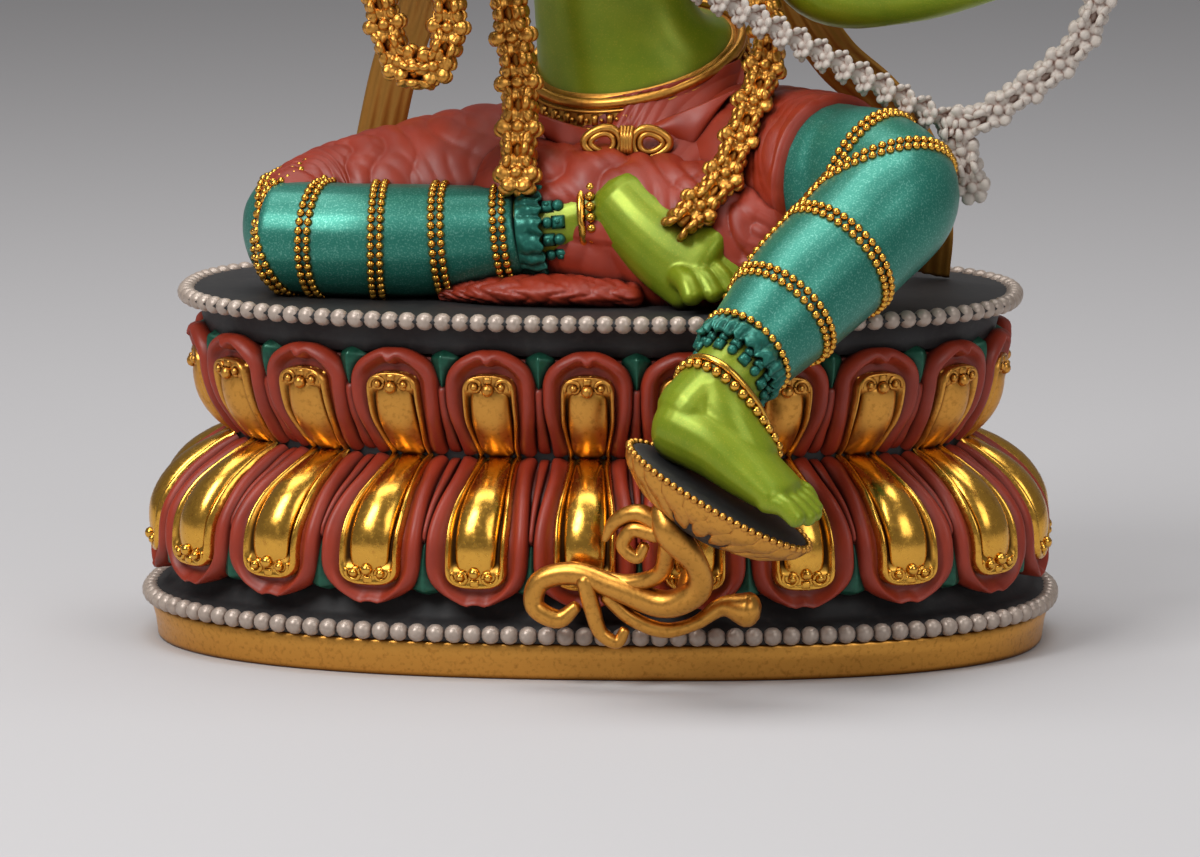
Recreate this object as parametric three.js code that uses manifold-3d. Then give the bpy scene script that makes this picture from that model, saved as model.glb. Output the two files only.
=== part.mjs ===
// A painted resin statuette: a four-armed goddess who sits at ease on an oval double-lotus
// plinth, draws a bow of white flowers, and rests her left foot on a small gilded lotus.
// Millimetres, +Z up, front towards -Y, origin at the centre of the plinth's underside.
import * as THREE from "three";
import Module from "manifold-3d";
import { mergeVertices } from "three/addons/utils/BufferGeometryUtils.js";

const wasm = await Module();
wasm.setup();

// Driving dimensions.
const GAP = 0.35; // clearance left between pieces that touch
const SEAT_Z = 91; // top of the plinth
const ROUND_POWER = 2.4; // the plinth's plan is an oval a little squarer than an ellipse
const DEPTH_LESS = 43.5; // how much shorter the oval's half depth is than its half width
const PETALS = 22;
const COLUMNS = 4; // points of the plinth's outline on each petal
const PETAL_PHASE = 2; // the front petal sits this far from the middle
const FOOT_HALF = 115.8;
const WAIST = { z: 53.5, half: 99.5 };
const LOWER_TIP_Z = 19;
const UPPER_TIP_Z = 82;
const PEARL = 2.45; // radius of the pearl rims
const LOWER_RIM = { z: 11.7, half: 117.6 };
const UPPER_RIM = { z: 90, half: 107.9 };
const BOW_GRIP = [131, -27, 180];
const STRING_HAND = [-8, -33, 192];
const HOOK_GRIP = [-36, -47, 182];
const NOOSE_GRIP = [86, -6, 232];
const FLOWER = 3.3; // radius of the bow's string of flowers
const GARLAND = 4.4; // and of the other strings
const HOOK_THICK = 4.2;
const NOOSE_THICK = 3;
const ARROW = 1.1;

// A closed solid from a geometry.
function solidOf(geometry) {
  const plain = geometry.clone();
  plain.deleteAttribute("normal");
  plain.deleteAttribute("uv");
  const merged = mergeVertices(plain, 1e-4);
  return new wasm.Manifold(
    new wasm.Mesh({
      numProp: 3,
      vertProperties: new Float32Array(merged.attributes.position.array),
      triVerts: new Uint32Array(merged.index.array),
    }),
  );
}

// A solid through rings of points, each with the same count, closed by a fan at both ends.
function loft(rings) {
  const count = rings[0].length;
  const points = rings.flat();
  const faces = [];
  for (let r = 0; r + 1 < rings.length; r++)
    for (let i = 0; i < count; i++) {
      const j = (i + 1) % count;
      const [a, b, c, d] = [r * count + i, r * count + j, (r + 1) * count + j, (r + 1) * count + i];
      faces.push([a, b, c], [a, c, d]);
    }
  for (const [first, flip] of [
    [0, true],
    [(rings.length - 1) * count, false],
  ]) {
    const ring = points.slice(first, first + count);
    const hub = points.push([0, 1, 2].map((k) => ring.reduce((sum, p) => sum + p[k], 0) / count)) - 1;
    for (let i = 0; i < count; i++) {
      const [a, b] = [first + i, first + ((i + 1) % count)];
      faces.push(flip ? [b, a, hub] : [a, b, hub]);
    }
  }
  const geometry = new THREE.BufferGeometry().setFromPoints(points.map(vec));
  const solid = solidOf(geometry.setIndex(faces.flat()));
  if (solid.volume() > 0) return solid;
  return solidOf(geometry.setIndex(faces.map(([a, b, c]) => [a, c, b]).flat()));
}

const vec = (p) => new THREE.Vector3(p[0], p[1], p[2]);

// A smooth round-ended limb: stations are [x, y, z, half width, half height], joined by a
// spline. The half height lies nearest to the direction named up. Folds makes every second
// ring smaller by that share, as gathered cloth is.
function limb(stations, { sides = 10, steps = 1, up = [0, 0, 1], ends = true, folds = 0 } = {}) {
  const curve = new THREE.CatmullRomCurve3(stations.map(vec), false, "centripetal");
  const spans = stations.length - 1;
  const total = spans * steps;
  const radiusAt = (t, k) => {
    const f = Math.min(t * spans, spans - 1e-6);
    const i = Math.floor(f);
    return THREE.MathUtils.lerp(stations[i][k], stations[i + 1][k], f - i);
  };
  const rings = [];
  const ring = (centre, along, wide, high) => {
    const side = new THREE.Vector3().crossVectors(along, vec(up)).normalize();
    const lift = new THREE.Vector3().crossVectors(side, along).normalize();
    rings.push(
      Array.from({ length: sides }, (_, i) => {
        const a = ((i + 0.5) / sides) * 2 * Math.PI;
        return centre
          .clone()
          .addScaledVector(side, Math.cos(a) * wide)
          .addScaledVector(lift, Math.sin(a) * high)
          .toArray();
      }),
    );
  };
  const stop = (t, way) => {
    const [wide, high] = [radiusAt(t, 3), radiusAt(t, 4)];
    const along = curve.getTangent(t);
    const reach = Math.min(wide, high);
    ring(curve.getPoint(t).addScaledVector(along, way * reach * 0.8), along, wide * 0.55, high * 0.55);
  };
  if (ends) stop(0, -1);
  for (let s = 0; s <= total; s++) {
    const t = s / total;
    const share = 1 - folds * (s % 2);
    ring(curve.getPoint(t), curve.getTangent(t), radiusAt(t, 3) * share, radiusAt(t, 4) * share);
  }
  if (ends) stop(1, 1);
  return loft(rings);
}

const ball = (p, radius) => {
  const g = new THREE.SphereGeometry(radius, 8, 6);
  return solidOf(g.rotateX(Math.PI / 2).translate(...p));
};

const fuse = (solids) => solids.reduce((whole, next) => whole.add(next));

// The plinth's plan: angles spaced evenly along the oval, so that all petals are one width.
function ovalAngles(count, phase) {
  const fine = 4000;
  const outline = Array.from({ length: fine + 1 }, (_, i) =>
    ovalPoint(UPPER_RIM.half, UPPER_RIM.half - DEPTH_LESS, (i / fine) * 2 * Math.PI),
  );
  const lengths = [0];
  for (let i = 1; i <= fine; i++) {
    const [p, q] = [outline[i - 1], outline[i]];
    lengths.push(lengths[i - 1] + Math.hypot(p[0] - q[0], p[1] - q[1]));
  }
  const whole = lengths[fine];
  const front = 0.75 * whole + phase;
  return Array.from({ length: count }, (_, k) => {
    const wanted = ((k / count) * whole + front) % whole;
    const i = lengths.findIndex((s) => s > wanted);
    const part = (wanted - lengths[i - 1]) / (lengths[i] - lengths[i - 1]);
    return ((i - 1 + part) / fine) * 2 * Math.PI;
  });
}

function ovalPoint(a, b, angle) {
  const power = (c) => Math.sign(c) * Math.abs(c) ** (2 / ROUND_POWER);
  return [a * power(Math.cos(angle)), b * power(Math.sin(angle))];
}

// The plinth, row by row from the floor up. Across is 0 on a petal's crest and 1 in the
// valley beside it. Each row gives the half width and the height there.
function plinth(grow = 0) {
  const angles = ovalAngles(PETALS * COLUMNS, PETAL_PHASE);
  const plain = (z, half) => () => [z, half];
  const petal = (z, half, valley, rise = 0) => (across) => [
    z + rise * across * across,
    half - valley * across ** 1.5,
  ];
  const rows = [
    plain(0, FOOT_HALF),
    plain(LOWER_RIM.z - 1.8, LOWER_RIM.half + 1),
    plain(LOWER_RIM.z, LOWER_RIM.half + PEARL),
    plain(LOWER_RIM.z + 2.3, 113.5),
    petal(LOWER_TIP_Z, 113.2, 0.4, 4),
    petal(LOWER_TIP_Z + 2.4, 118.4, 3.6, 4),
    petal(34, 118.6, 4.6),
    petal(45, 112.6, 4.4),
    petal(WAIST.z, WAIST.half, 2),
    petal(64, 106.4, 4.2),
    petal(UPPER_TIP_Z - 2.4, 107.4, 3, -3),
    petal(UPPER_TIP_Z, 103.6, 0.4, -3),
    plain(UPPER_RIM.z - 2.6, 104),
    plain(UPPER_RIM.z - 0.6, UPPER_RIM.half + PEARL),
    plain(UPPER_RIM.z + 2.2, UPPER_RIM.half + 0.4),
    plain(SEAT_Z, UPPER_RIM.half - 2.4),
  ];
  return loft(
    rows.map((row) =>
      angles.map((angle, i) => {
        const across = [0, 0.5, 1, 0.5][i % COLUMNS];
        const [z, half] = row(across);
        const [x, y] = ovalPoint(half + grow, half + grow - DEPTH_LESS, angle);
        return [x, y, z + (z >= SEAT_Z ? grow : 0)];
      }),
    ),
  );
}

// A hand closed round something that runs through grip. Along is the way from the wrist to
// the knuckles, palm the way the palm faces, and thumb the side of the thumb.
const PALM = 15; // wrist to the middle of the grip
const GRIP_OFF = 5.4; // middle of the grip off the palm
function handSide({ grip, along, palm }) {
  return vec(grip)
    .addScaledVector(vec(along).normalize(), -PALM)
    .addScaledVector(vec(palm).normalize(), -GRIP_OFF);
}
// Each ring of the hand has nine points over the back and seven over the palm: the middle
// and the edges of four fingers, with grooves between the fingers.
const HAND_PATH = [
  { reach: -3, drop: 0, wide: 4.4, thick: 4, groove: 0 },
  { reach: 5, drop: 0, wide: 5.8, thick: 3.4, groove: 0.05 },
  { reach: 13.5, drop: 0, wide: 7, thick: 2.8, groove: 0.2 },
  { reach: 20.4, drop: 2.4, wide: 6.8, thick: 2.1, groove: 0.5 },
  { reach: 20, drop: 9, wide: 6.4, thick: 1.9, groove: 0.5 },
  { reach: 14.4, drop: 9.8, wide: 5.8, thick: 1.6, groove: 0.5 },
];
function hand(pose) {
  const wrist = handSide(pose);
  const [a, n, b] = [pose.along, pose.palm, pose.thumb].map((v) => vec(v).normalize());
  const at = (x, y, z) => wrist.clone().addScaledVector(a, x).addScaledVector(b, y).addScaledVector(n, z);
  const rings = HAND_PATH.map(({ reach, drop, wide, thick, groove }, k) => {
    const before = HAND_PATH[Math.max(k - 1, 0)];
    const after = HAND_PATH[Math.min(k + 1, HAND_PATH.length - 1)];
    const way = new THREE.Vector2(after.reach - before.reach, after.drop - before.drop).normalize();
    return Array.from({ length: 16 }, (_, i) => {
      const across = i <= 8 ? i / 8 : (16 - i) / 8;
      const outer = i % 8 === 0;
      const off = outer ? 0 : (i < 8 ? -1 : 1) * thick * (i % 2 ? 1 : 1 - groove);
      return at(reach - way.y * off, (across - 0.5) * 2 * wide, drop + way.x * off).toArray();
    });
  });
  const thumb = [at(3, 4, 1), at(9, 8.6, 4), at(15, 7.6, 9.4)];
  const widths = [2.6, 2.2, 1.7];
  const thumbLimb = limb(thumb.map((p, k) => [...p.toArray(), widths[k], widths[k]]), { sides: 5 });
  return loft(rings).add(thumbLimb);
}

// The torso, from the seat to the neck, as rings: height, middle x, middle y, half width,
// half depth, and the ring's slope along x and y. It sways a little to her right as it rises,
// and the belt hangs low in front and rises over the raised left thigh.
const TORSO = [
  [88, 8, 14, 30, 24, 0, 0],
  [97, 8, 14, 36, 27, 0, 0],
  [112, 8, 13, 36, 26, 0, 0.1],
  [126, 9, 10, 32, 24, 0.08, 0.3],
  [142.5, 9, 9, 28.8, 21.8, 0.16, 0.5],
  [144, 9, 9, 30, 23, 0.16, 0.5],
  [151, 8.6, 8.2, 28, 21.2, 0.17, 0.5],
  [152.5, 8.2, 7.6, 25.6, 18.6, 0.16, 0.45],
  [161, 4.6, 5.6, 22, 15.2, 0.04, 0.12],
  [168, 2.8, 4.4, 20.8, 14, 0, 0],
  [180, 1, 4, 23, 14.8, 0, 0],
  [198, -1, 3.6, 28, 16.6, 0, 0],
  [211, -2, 4.4, 30, 15, 0, 0],
  [219, -2, 5, 25, 12, 0, 0],
  [225, -2.5, 5.3, 11.5, 10, 0, 0],
  [237, -3.4, 3.6, 9, 9, 0, 0],
];
// Head, hair and topknot in one, tapering to the finial.
const HEAD = [
  [234, -3.4, -5, 5.6, 6.6, 0, 0],
  [238, -3.4, -3.4, 10, 12, 0, 0],
  [246, -3.4, -0.8, 14, 16.8, 0, 0],
  [253, -3.4, 0.6, 15.2, 18, 0, 0],
  [255, -3.4, 2.6, 17.2, 18, 0, 0],
  [265, -3.4, 3, 17, 18, 0, 0],
  [272, -3.4, 4, 11, 12, 0, 0],
  [276, -3.4, 6, 8.5, 8.5, 0, 0],
  [281, -3.4, 6.5, 9.8, 9.8, 0, 0],
  [289, -3.4, 7, 8.6, 8.6, 0, 0],
  [297, -3.4, 7, 4, 4, 0, 0],
  [305, -3.4, 7, 0.9, 0.9, 0, 0],
];
const levelLoft = (rings, sides) =>
  loft(
    rings.map(([z, cx, cy, wide, deep, alongX, alongY]) =>
      Array.from({ length: sides }, (_, i) => {
        const a = ((i + 0.5) / sides) * 2 * Math.PI;
        const [x, y] = [Math.cos(a) * wide, Math.sin(a) * deep];
        return [cx + x, cy + y, z + alongX * x + alongY * y];
      }),
    ),
  );

// Legs. Her right leg is folded on the seat and her left comes down in front of the plinth.
const RIGHT_THIGH = [
  [-6, 10, 113, 26, 26.5],
  [-31, 4, 111.6, 24, 26],
  [-52, 0, 109.6, 21.5, 23.4],
  [-70, -5, 107.6, 18.6, 20],
  [-79, -12, 106.6, 14.4, 16.6],
];
const RIGHT_SHIN = [
  [-82.5, -18, 105.6, 14.6, 14.6],
  [-62, -23, 105.6, 14.6, 14.8],
  [-42, -23, 105.8, 14.6, 14.6],
  [-24, -24, 107.6, 12.6, 12.8],
  [-8, -25, 109.6, 10.2, 10.6],
  [0, -26, 110.8, 9, 9.2],
];
const RIGHT_FOOT = [
  [8.5, -27, 116.8, 9.6, 10],
  [14, -32, 111.6, 9.4, 9.4],
  [21, -37, 105.4, 10.4, 8],
  [29, -41, 100.4, 12, 6.2],
];
const LEFT_THIGH = [
  [20, 12, 115, 26, 26],
  [40, -4, 119, 24.5, 26],
  [56, -18, 121, 22.5, 24],
  [63, -25, 121.6, 22, 23],
];
const LEFT_SHIN = [
  [60, -20, 121.5, 19, 19.6],
  [72, -33, 123.4, 18.4, 18.8],
  [78.3, -43, 120.8, 17, 17.4],
  [69.7, -54, 111.3, 16.6, 16.6],
  [57.1, -67.5, 99.6, 15.6, 15.8],
  [46.2, -80, 88.6, 13, 13.2],
  [40.9, -86.5, 83.3, 10.6, 11],
  [36.4, -92, 77.7, 9.6, 10],
];
const LEFT_FOOT = [
  [28.7, -94.5, 69, 9.4, 9.6],
  [36.4, -97.5, 65.7, 9.6, 9],
  [45.4, -100.5, 59.3, 9.8, 7.4],
  [53.4, -103, 53.7, 10.3, 5.4],
];

// Five toes a foot, the big toe first: where the first one starts, the step to the next, the
// tips, and the big toe's radius.
const RIGHT_TOES = {
  root: [25, -46, 99.5],
  step: [3, 2, 0.9],
  size: 3.6,
  tips: [
    [27.6, -52, 95],
    [33.4, -48.6, 95.6],
    [37.2, -44.8, 96.6],
    [40.4, -40.4, 98],
    [42.6, -36, 99.6],
  ],
};
const LEFT_TOES = {
  root: [50.4, -109.5, 52.9],
  step: [1.8, 3.2, 0.4],
  size: 3.2,
  tips: [
    [58.1, -112.1, 48.4],
    [60.9, -108.7, 48.4],
    [62.3, -105.3, 48.8],
    [62.5, -101.9, 49.9],
    [61.5, -98.7, 51.3],
  ],
};

// Skirt panels that hang from the left thigh and cover the lap, and the cloth on the seat.
const LAP = [
  [-22, -14, 112, 14, 20],
  [4, -20, 108, 16, 22],
  [30, -26, 106, 16, 20],
  [46, -36, 104, 9, 15],
];
const SEAT_CLOTH = [
  [-38, -30, 93, 2, 1.6],
  [-24, -32, 94, 8, 3.4],
  [-6, -33, 94.4, 10, 4],
  [12, -34, 94, 8, 3.4],
];
const GARLANDS = [
  [
    [-14, 0, 222],
    [-24, -13, 208],
    [-24, -19, 190],
    [-22, -22, 169],
    [-19, -24, 147],
    [-18.6, -32, 124],
  ],
  [
    [10, 0, 222],
    [26, -10, 206],
    [33, -14, 190],
    [42, -16, 170],
    [45, -17, 158],
    [40, -28, 138],
    [33, -38, 122],
    [25, -43, 114],
  ],
];

// What the hands do, and the arms from shoulder to forearm: the wrist is the hand's own.
const HANDS = {
  bow: { grip: BOW_GRIP, along: [0.98, -0.1, 0.12], thumb: [0.1, 0, 1], palm: [0, -1, 0] },
  draw: { grip: STRING_HAND, along: [0.99, -0.1, -0.08], thumb: [0.08, 0, 1], palm: [0, 1, 0] },
  hook: { grip: HOOK_GRIP, along: [0.66, -0.75, -0.1], thumb: [0.1, 0, 1], palm: [0.75, 0.66, 0] },
  noose: { grip: NOOSE_GRIP, along: [0.3, -0.3, 0.9], thumb: [-0.9, -0.3, 0.2], palm: [0.3, -0.9, -0.4] },
};
const ARMS = {
  bow: [
    [31, 3, 214, 10, 10],
    [43, 0, 197, 8.6, 8.6],
    [57, -6, 171.5, 9.4, 9.8],
    [80, -12, 170.5, 8.6, 9],
  ],
  draw: [
    [-35, 3, 214, 10, 10],
    [-57, -5, 210, 8.8, 8.8],
    [-78, -14, 201, 8.8, 9],
    [-54, -27, 198, 7.8, 8],
  ],
  hook: [
    [-33, 9, 212, 9.4, 9.4],
    [-50, 10, 199, 8.2, 8.2],
    [-62, 5, 186.5, 8.2, 8.4],
    [-55, -16, 183, 7.2, 7.4],
  ],
  noose: [
    [30, 9, 212, 9.4, 9.4],
    [48, 14, 201, 8.2, 8.2],
    [66, 16, 194, 8, 8],
    [76, 10, 206, 7, 7],
  ],
};
const WRIST = 4.8;
const arm = (name) =>
  limb([...ARMS[name], [...handSide(HANDS[name]).toArray(), WRIST, WRIST]], {
    sides: 8,
    up: [0, 1, 0.2],
  });

// The bow: the lower limb from tip to grip, and its mirror image about the arrow's line.
const BOW_LOWER = [
  [97.8, -27, 121.6],
  [96, -27, 129],
  [92.5, -27, 137],
  [100, -27, 139],
  [108.1, -27, 144.5],
  [116.5, -27, 150.4],
  [125.3, -27, 159.5],
  [129.6, -27, 169.5],
];
function mirrored(p) {
  const along = new THREE.Vector2(BOW_GRIP[0] - STRING_HAND[0], BOW_GRIP[2] - STRING_HAND[2]).normalize();
  const from = new THREE.Vector2(p[0] - BOW_GRIP[0], p[2] - BOW_GRIP[2]);
  const s = from.dot(along);
  const across = from.addScaledVector(along, -s);
  return [BOW_GRIP[0] + along.x * s - across.x, p[1], BOW_GRIP[2] + along.y * s - across.y];
}
const rope = (points, radius, options) =>
  limb(points.map((p) => [...p, radius, radius]), { sides: 5, up: [0, 1, 0], ...options });
function bow(radius) {
  const limbs = [...BOW_LOWER, BOW_GRIP, ...BOW_LOWER.map(mirrored).reverse()];
  const nock = BOW_LOWER[2];
  return fuse([rope(limbs, radius), rope([nock, STRING_HAND, mirrored(nock)], radius)]);
}
const arrow = (radius) =>
  fuse([
    rope([[-14, -40.6, 195], [60, -37.4, 188.6], [146, -33.6, 181.2]], radius),
    rope([[140, -33.9, 181.7], [147, -33.5, 181.1], [156, -33, 180.3]], radius + 1.2),
  ]);
const HOOK = [
  [HOOK_GRIP[0] + 2, HOOK_GRIP[1], 206],
  HOOK_GRIP,
  [-34.6, -47.5, 168],
  [-36, -48, 157],
  [-42, -48, 151.5],
  [-49, -46, 157],
  [-52, -45, 168],
  [-56, -45, 179],
];
const NOOSE = { centre: [NOOSE_GRIP[0] + 17, NOOSE_GRIP[1], NOOSE_GRIP[2]], radius: 17 };
const noose = (radius) => {
  const g = new THREE.TorusGeometry(NOOSE.radius, radius, 5, 16);
  g.rotateX(Math.PI / 2).translate(...NOOSE.centre);
  return solidOf(g);
};

// Scarf ends that fall behind her to the seat, as flat bands.
const SCARVES = {
  scarf_right: [
    [-46, 14.6, 176],
    [-51, 20, 160],
    [-55.5, 21, 147],
    [-59, 23, 133],
    [-63, 27, 112],
    [-63, 31, 92.6],
  ],
  scarf_left: [
    [47, 24, 186],
    [50, 21, 166],
    [60, 19, 150],
    [73, 19, 138],
    [83, 19, 121],
    [85, 21, 105],
    [84, 25, 92.6],
  ],
};
const scarf = (points) =>
  limb(points.map((p) => [...p, 6.4, 1.3]), { sides: 6, up: [0.3, 1, 0], ends: false });

// The small lotus under her left foot: an oval dish on a scrolled stem. The dish tilts down
// to the right and leans a little to the front. Stem stations are [x, y, z, radius].
const DISH = { centre: [38.2, -98.5, 52.7], half: 26.1, depth: 14, tilt: 0.518, lean: 0.13 };
function dishPoint(x, y, z) {
  const turn = new THREE.Euler(DISH.lean, DISH.tilt, 0, "YXZ");
  return new THREE.Vector3(x, y, z).applyEuler(turn).add(vec(DISH.centre)).toArray();
}
const dish = (grow = 0) => {
  const sides = 18;
  const rows = [
    [-13, 0.3],
    [-9.5, 0.66],
    [-4.5, 0.93],
    [-1.4, 1],
    [grow, 1 + grow / DISH.half],
  ];
  return loft(
    rows.map(([z, share]) =>
      Array.from({ length: sides }, (_, i) => {
        const a = ((i + 0.5) / sides) * 2 * Math.PI;
        return dishPoint(Math.cos(a) * DISH.half * share, Math.sin(a) * DISH.depth * share, z);
      }),
    ),
  );
};
const STEMS = [
  [
    [24, -96, 47, 4],
    [26, -98, 42.5, 4.2],
    [32.1, -95, 34, 3],
    [32.4, -91.5, 27.5, 3.4],
    [24.2, -88, 22.8, 3.6],
    [11.3, -86, 26.3, 3.2],
    [0, -84, 29.6, 3],
    [-8.4, -83, 27, 2.8],
    [-9.6, -83, 21, 2.6],
    [-3.5, -83.5, 17.8, 2.4],
    [0.8, -84, 21, 1.6],
  ],
  [
    [25, -96, 39, 2.4],
    [22.6, -90, 31, 2.2],
    [14.4, -86, 27.6, 2.4],
    [4, -84.5, 29.4, 2],
  ],
  [
    [24, -97, 44, 2.6],
    [17.4, -95.6, 47, 2.4],
    [11.4, -94, 44.2, 1.9],
    [9, -93, 40, 0.9],
  ],
  [
    [22, -97, 42, 2.2],
    [16, -96, 42.8, 2],
    [13.6, -95, 38.6, 1.8],
    [17.2, -95, 35.8, 1.7],
    [19, -95, 38.6, 1.4],
  ],
  [
    [3.4, -86, 28, 2.4],
    [5.2, -86, 21, 2.2],
    [7.4, -85, 14.6, 1.9],
    [11.4, -85, 12.4, 1.7],
    [13.2, -85, 15.2, 1.4],
  ],
  [
    [9, -85.5, 24, 2],
    [15, -85, 18.6, 2],
    [23.4, -85, 15.6, 2],
    [31, -84.6, 17.4, 1.8],
    [38, -83.6, 21.6, 2.6],
    [44, -84, 21, 4.6],
  ],
  [
    [29, -90, 25, 3],
    [29, -70, 27, 3],
  ],
];

// A wall along the plinth's oval, for the cuts.
function ovalWall(half, low, high) {
  const angles = ovalAngles(PETALS * COLUMNS, PETAL_PHASE);
  return loft(
    [low, high].map((z) => angles.map((angle) => [...ovalPoint(half, half - DEPTH_LESS, angle), z])),
  );
}

// The seat and its pearl rim, grown by the gap, which the figure is cut to.
function seatCuts() {
  const [top, reach] = [SEAT_Z + GAP, UPPER_RIM.half + PEARL + GAP];
  const rimTop = UPPER_RIM.z + PEARL + GAP;
  const slab = new THREE.BoxGeometry(400, 400, 60).translate(0, 0, top - 30);
  return [
    solidOf(slab).intersect(ovalWall(reach, 40, top)),
    ovalWall(reach, UPPER_RIM.z - 4, rimTop).subtract(ovalWall(UPPER_RIM.half - 2.2, 40, rimTop + 1)),
  ];
}

const toes = ({ root, step, tips, size }) =>
  tips.map((tip, i) => {
    const start = root.map((c, k) => c + step[k] * i);
    const [wide, narrow] = [size * (1 - 0.1 * i), size * 0.7 * (1 - 0.1 * i)];
    return limb([[...start, wide, wide], [...tip, narrow, narrow]], { sides: 5, ends: false });
  });

// Five leaves of the crown, over the brow.
const CROWN = { x: -3.4, y: 3, wide: 15.6, deep: 16.6, spread: 0.62, leaves: 5 };
const crown = () =>
  Array.from({ length: CROWN.leaves }, (_, i) => {
    const a = -Math.PI / 2 + (i - (CROWN.leaves - 1) / 2) * CROWN.spread;
    const [x, y] = [CROWN.x + Math.cos(a) * CROWN.wide, CROWN.y + Math.sin(a) * CROWN.deep];
    return limb([[x, y, 258, 5, 1.8], [x, y, 267, 4.8, 1.8], [x, y, 277, 0.8, 0.8]], {
      sides: 4,
      ends: false,
      up: [Math.cos(a), Math.sin(a), 0],
    });
  });

// The whole figure, cut flat where she sits and clear of the pieces that touch her.
function figure() {
  const body = fuse([
    levelLoft(TORSO, 14),
    ball([-13, -8, 203], 10),
    ball([9, -8, 203], 10),
    levelLoft(HEAD, 12),
    limb([[-3.4, -15, 250, 1.6, 1.6], [-3.4, -18.6, 244, 2.2, 2.2]], { sides: 4, ends: false }),
    ...crown(),
    limb(RIGHT_THIGH, { steps: 2, folds: 0.06 }),
    limb(LEFT_THIGH, { ends: false }),
    limb(RIGHT_SHIN),
    limb(LEFT_SHIN, { sides: 12 }),
    limb(RIGHT_FOOT, { up: [0.5, 0.4, 0.8] }),
    limb(LEFT_FOOT),
    ...toes(RIGHT_TOES),
    ...toes(LEFT_TOES),
    limb(LAP, { steps: 3, sides: 8, folds: 0.07 }),
    limb(SEAT_CLOTH, { sides: 8 }),
    ...GARLANDS.map((points) => rope(points, GARLAND)),
    ...Object.keys(ARMS).map(arm),
    ...Object.values(HANDS).map(hand),
  ]);
  return [
    ...seatCuts(),
    bow(FLOWER + GAP),
    arrow(ARROW + GAP),
    rope(HOOK, HOOK_THICK + GAP),
    noose(NOOSE_THICK + GAP),
    dish(GAP),
    ...Object.values(SCARVES).map(scarf),
  ].reduce((left, cut) => left.subtract(cut), body);
}

// Materials, named for the paints.
const paint = (hex, roughness, metalness) =>
  new THREE.MeshStandardMaterial({ color: new THREE.Color(hex), roughness, metalness });
const RED = paint("#9c3a22", 0.5, 0);
const GREEN = paint("#7c9a1e", 0.45, 0);
const GOLD = paint("#c0892e", 0.35, 0.8);
const WHITE = paint("#c9c0b6", 0.7, 0);

const statue = new THREE.Group();
function place(name, solid, material) {
  const { numProp, vertProperties, triVerts, numVert } = solid.getMesh();
  const positions = new Float32Array(numVert * 3);
  for (let i = 0; i < numVert; i++)
    positions.set(vertProperties.subarray(i * numProp, i * numProp + 3), i * 3);
  const geometry = new THREE.BufferGeometry()
    .setAttribute("position", new THREE.BufferAttribute(positions, 3))
    .setIndex(new THREE.BufferAttribute(triVerts, 1));
  geometry.computeVertexNormals();
  const mesh = new THREE.Mesh(geometry, material);
  mesh.name = name;
  statue.add(mesh);
}

place("plinth", plinth(), RED);
place("figure", figure(), GREEN);
const stems = STEMS.map((route) =>
  limb(route.map(([x, y, z, r]) => [x, y, z, r, r]), { sides: 5, up: [0, 1, 0] }),
);
place("foot_lotus", fuse([dish(), ...stems]).subtract(plinth(GAP)), GOLD);
place("flower_bow", bow(FLOWER), WHITE);
place("flower_arrow", arrow(ARROW).subtract(bow(FLOWER + GAP)), GOLD);
place("flower_hook", rope(HOOK, HOOK_THICK), GOLD);
place("flower_noose", noose(NOOSE_THICK), GOLD);
for (const [name, points] of Object.entries(SCARVES)) place(name, scarf(points), GOLD);

export default statue;
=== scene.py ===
import bmesh
import bpy
import numpy as np
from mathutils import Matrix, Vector
from mathutils.bvhtree import BVHTree


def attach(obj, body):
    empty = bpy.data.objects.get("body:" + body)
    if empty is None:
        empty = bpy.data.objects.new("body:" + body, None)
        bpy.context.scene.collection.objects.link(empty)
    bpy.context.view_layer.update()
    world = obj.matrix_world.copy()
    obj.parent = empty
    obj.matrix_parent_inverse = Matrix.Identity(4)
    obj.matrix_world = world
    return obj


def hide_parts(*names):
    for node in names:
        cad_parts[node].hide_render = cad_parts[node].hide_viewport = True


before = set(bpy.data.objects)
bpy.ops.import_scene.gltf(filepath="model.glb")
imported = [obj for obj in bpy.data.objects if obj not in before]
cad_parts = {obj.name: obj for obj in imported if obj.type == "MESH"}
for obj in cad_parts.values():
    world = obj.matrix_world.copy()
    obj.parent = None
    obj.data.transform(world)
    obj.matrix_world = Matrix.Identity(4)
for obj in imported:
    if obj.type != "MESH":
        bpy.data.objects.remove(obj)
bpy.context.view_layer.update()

MM = 0.001
rng = np.random.default_rng(7)

# The plinth's oval and its rows, as the frame has them.
ROUND_POWER = 2.4
DEPTH_LESS = 43.5
PETALS = 22
PETAL_PHASE = 2
SEAT_Z = 91
FOOT_HALF = 115.8
WAIST = (99.5, 53.5)
LOWER_RIM = (117.6, 11.7)
UPPER_RIM = (107.9, 90)
PEARL = 2.45


def unit(v):
    """Vectors made one long."""
    return v / np.maximum(np.linalg.norm(v, axis=-1, keepdims=True), 1e-9)


def step(low, high, x):
    """0 below low, 1 above high, and a smooth rise between."""
    t = np.clip((x - low) / (high - low), 0, 1)
    return t * t * (3 - 2 * t)


def hump(x, centre, width):
    """A bell of height 1 round a centre."""
    return np.exp(-(((x - centre) / width) ** 2))


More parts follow.
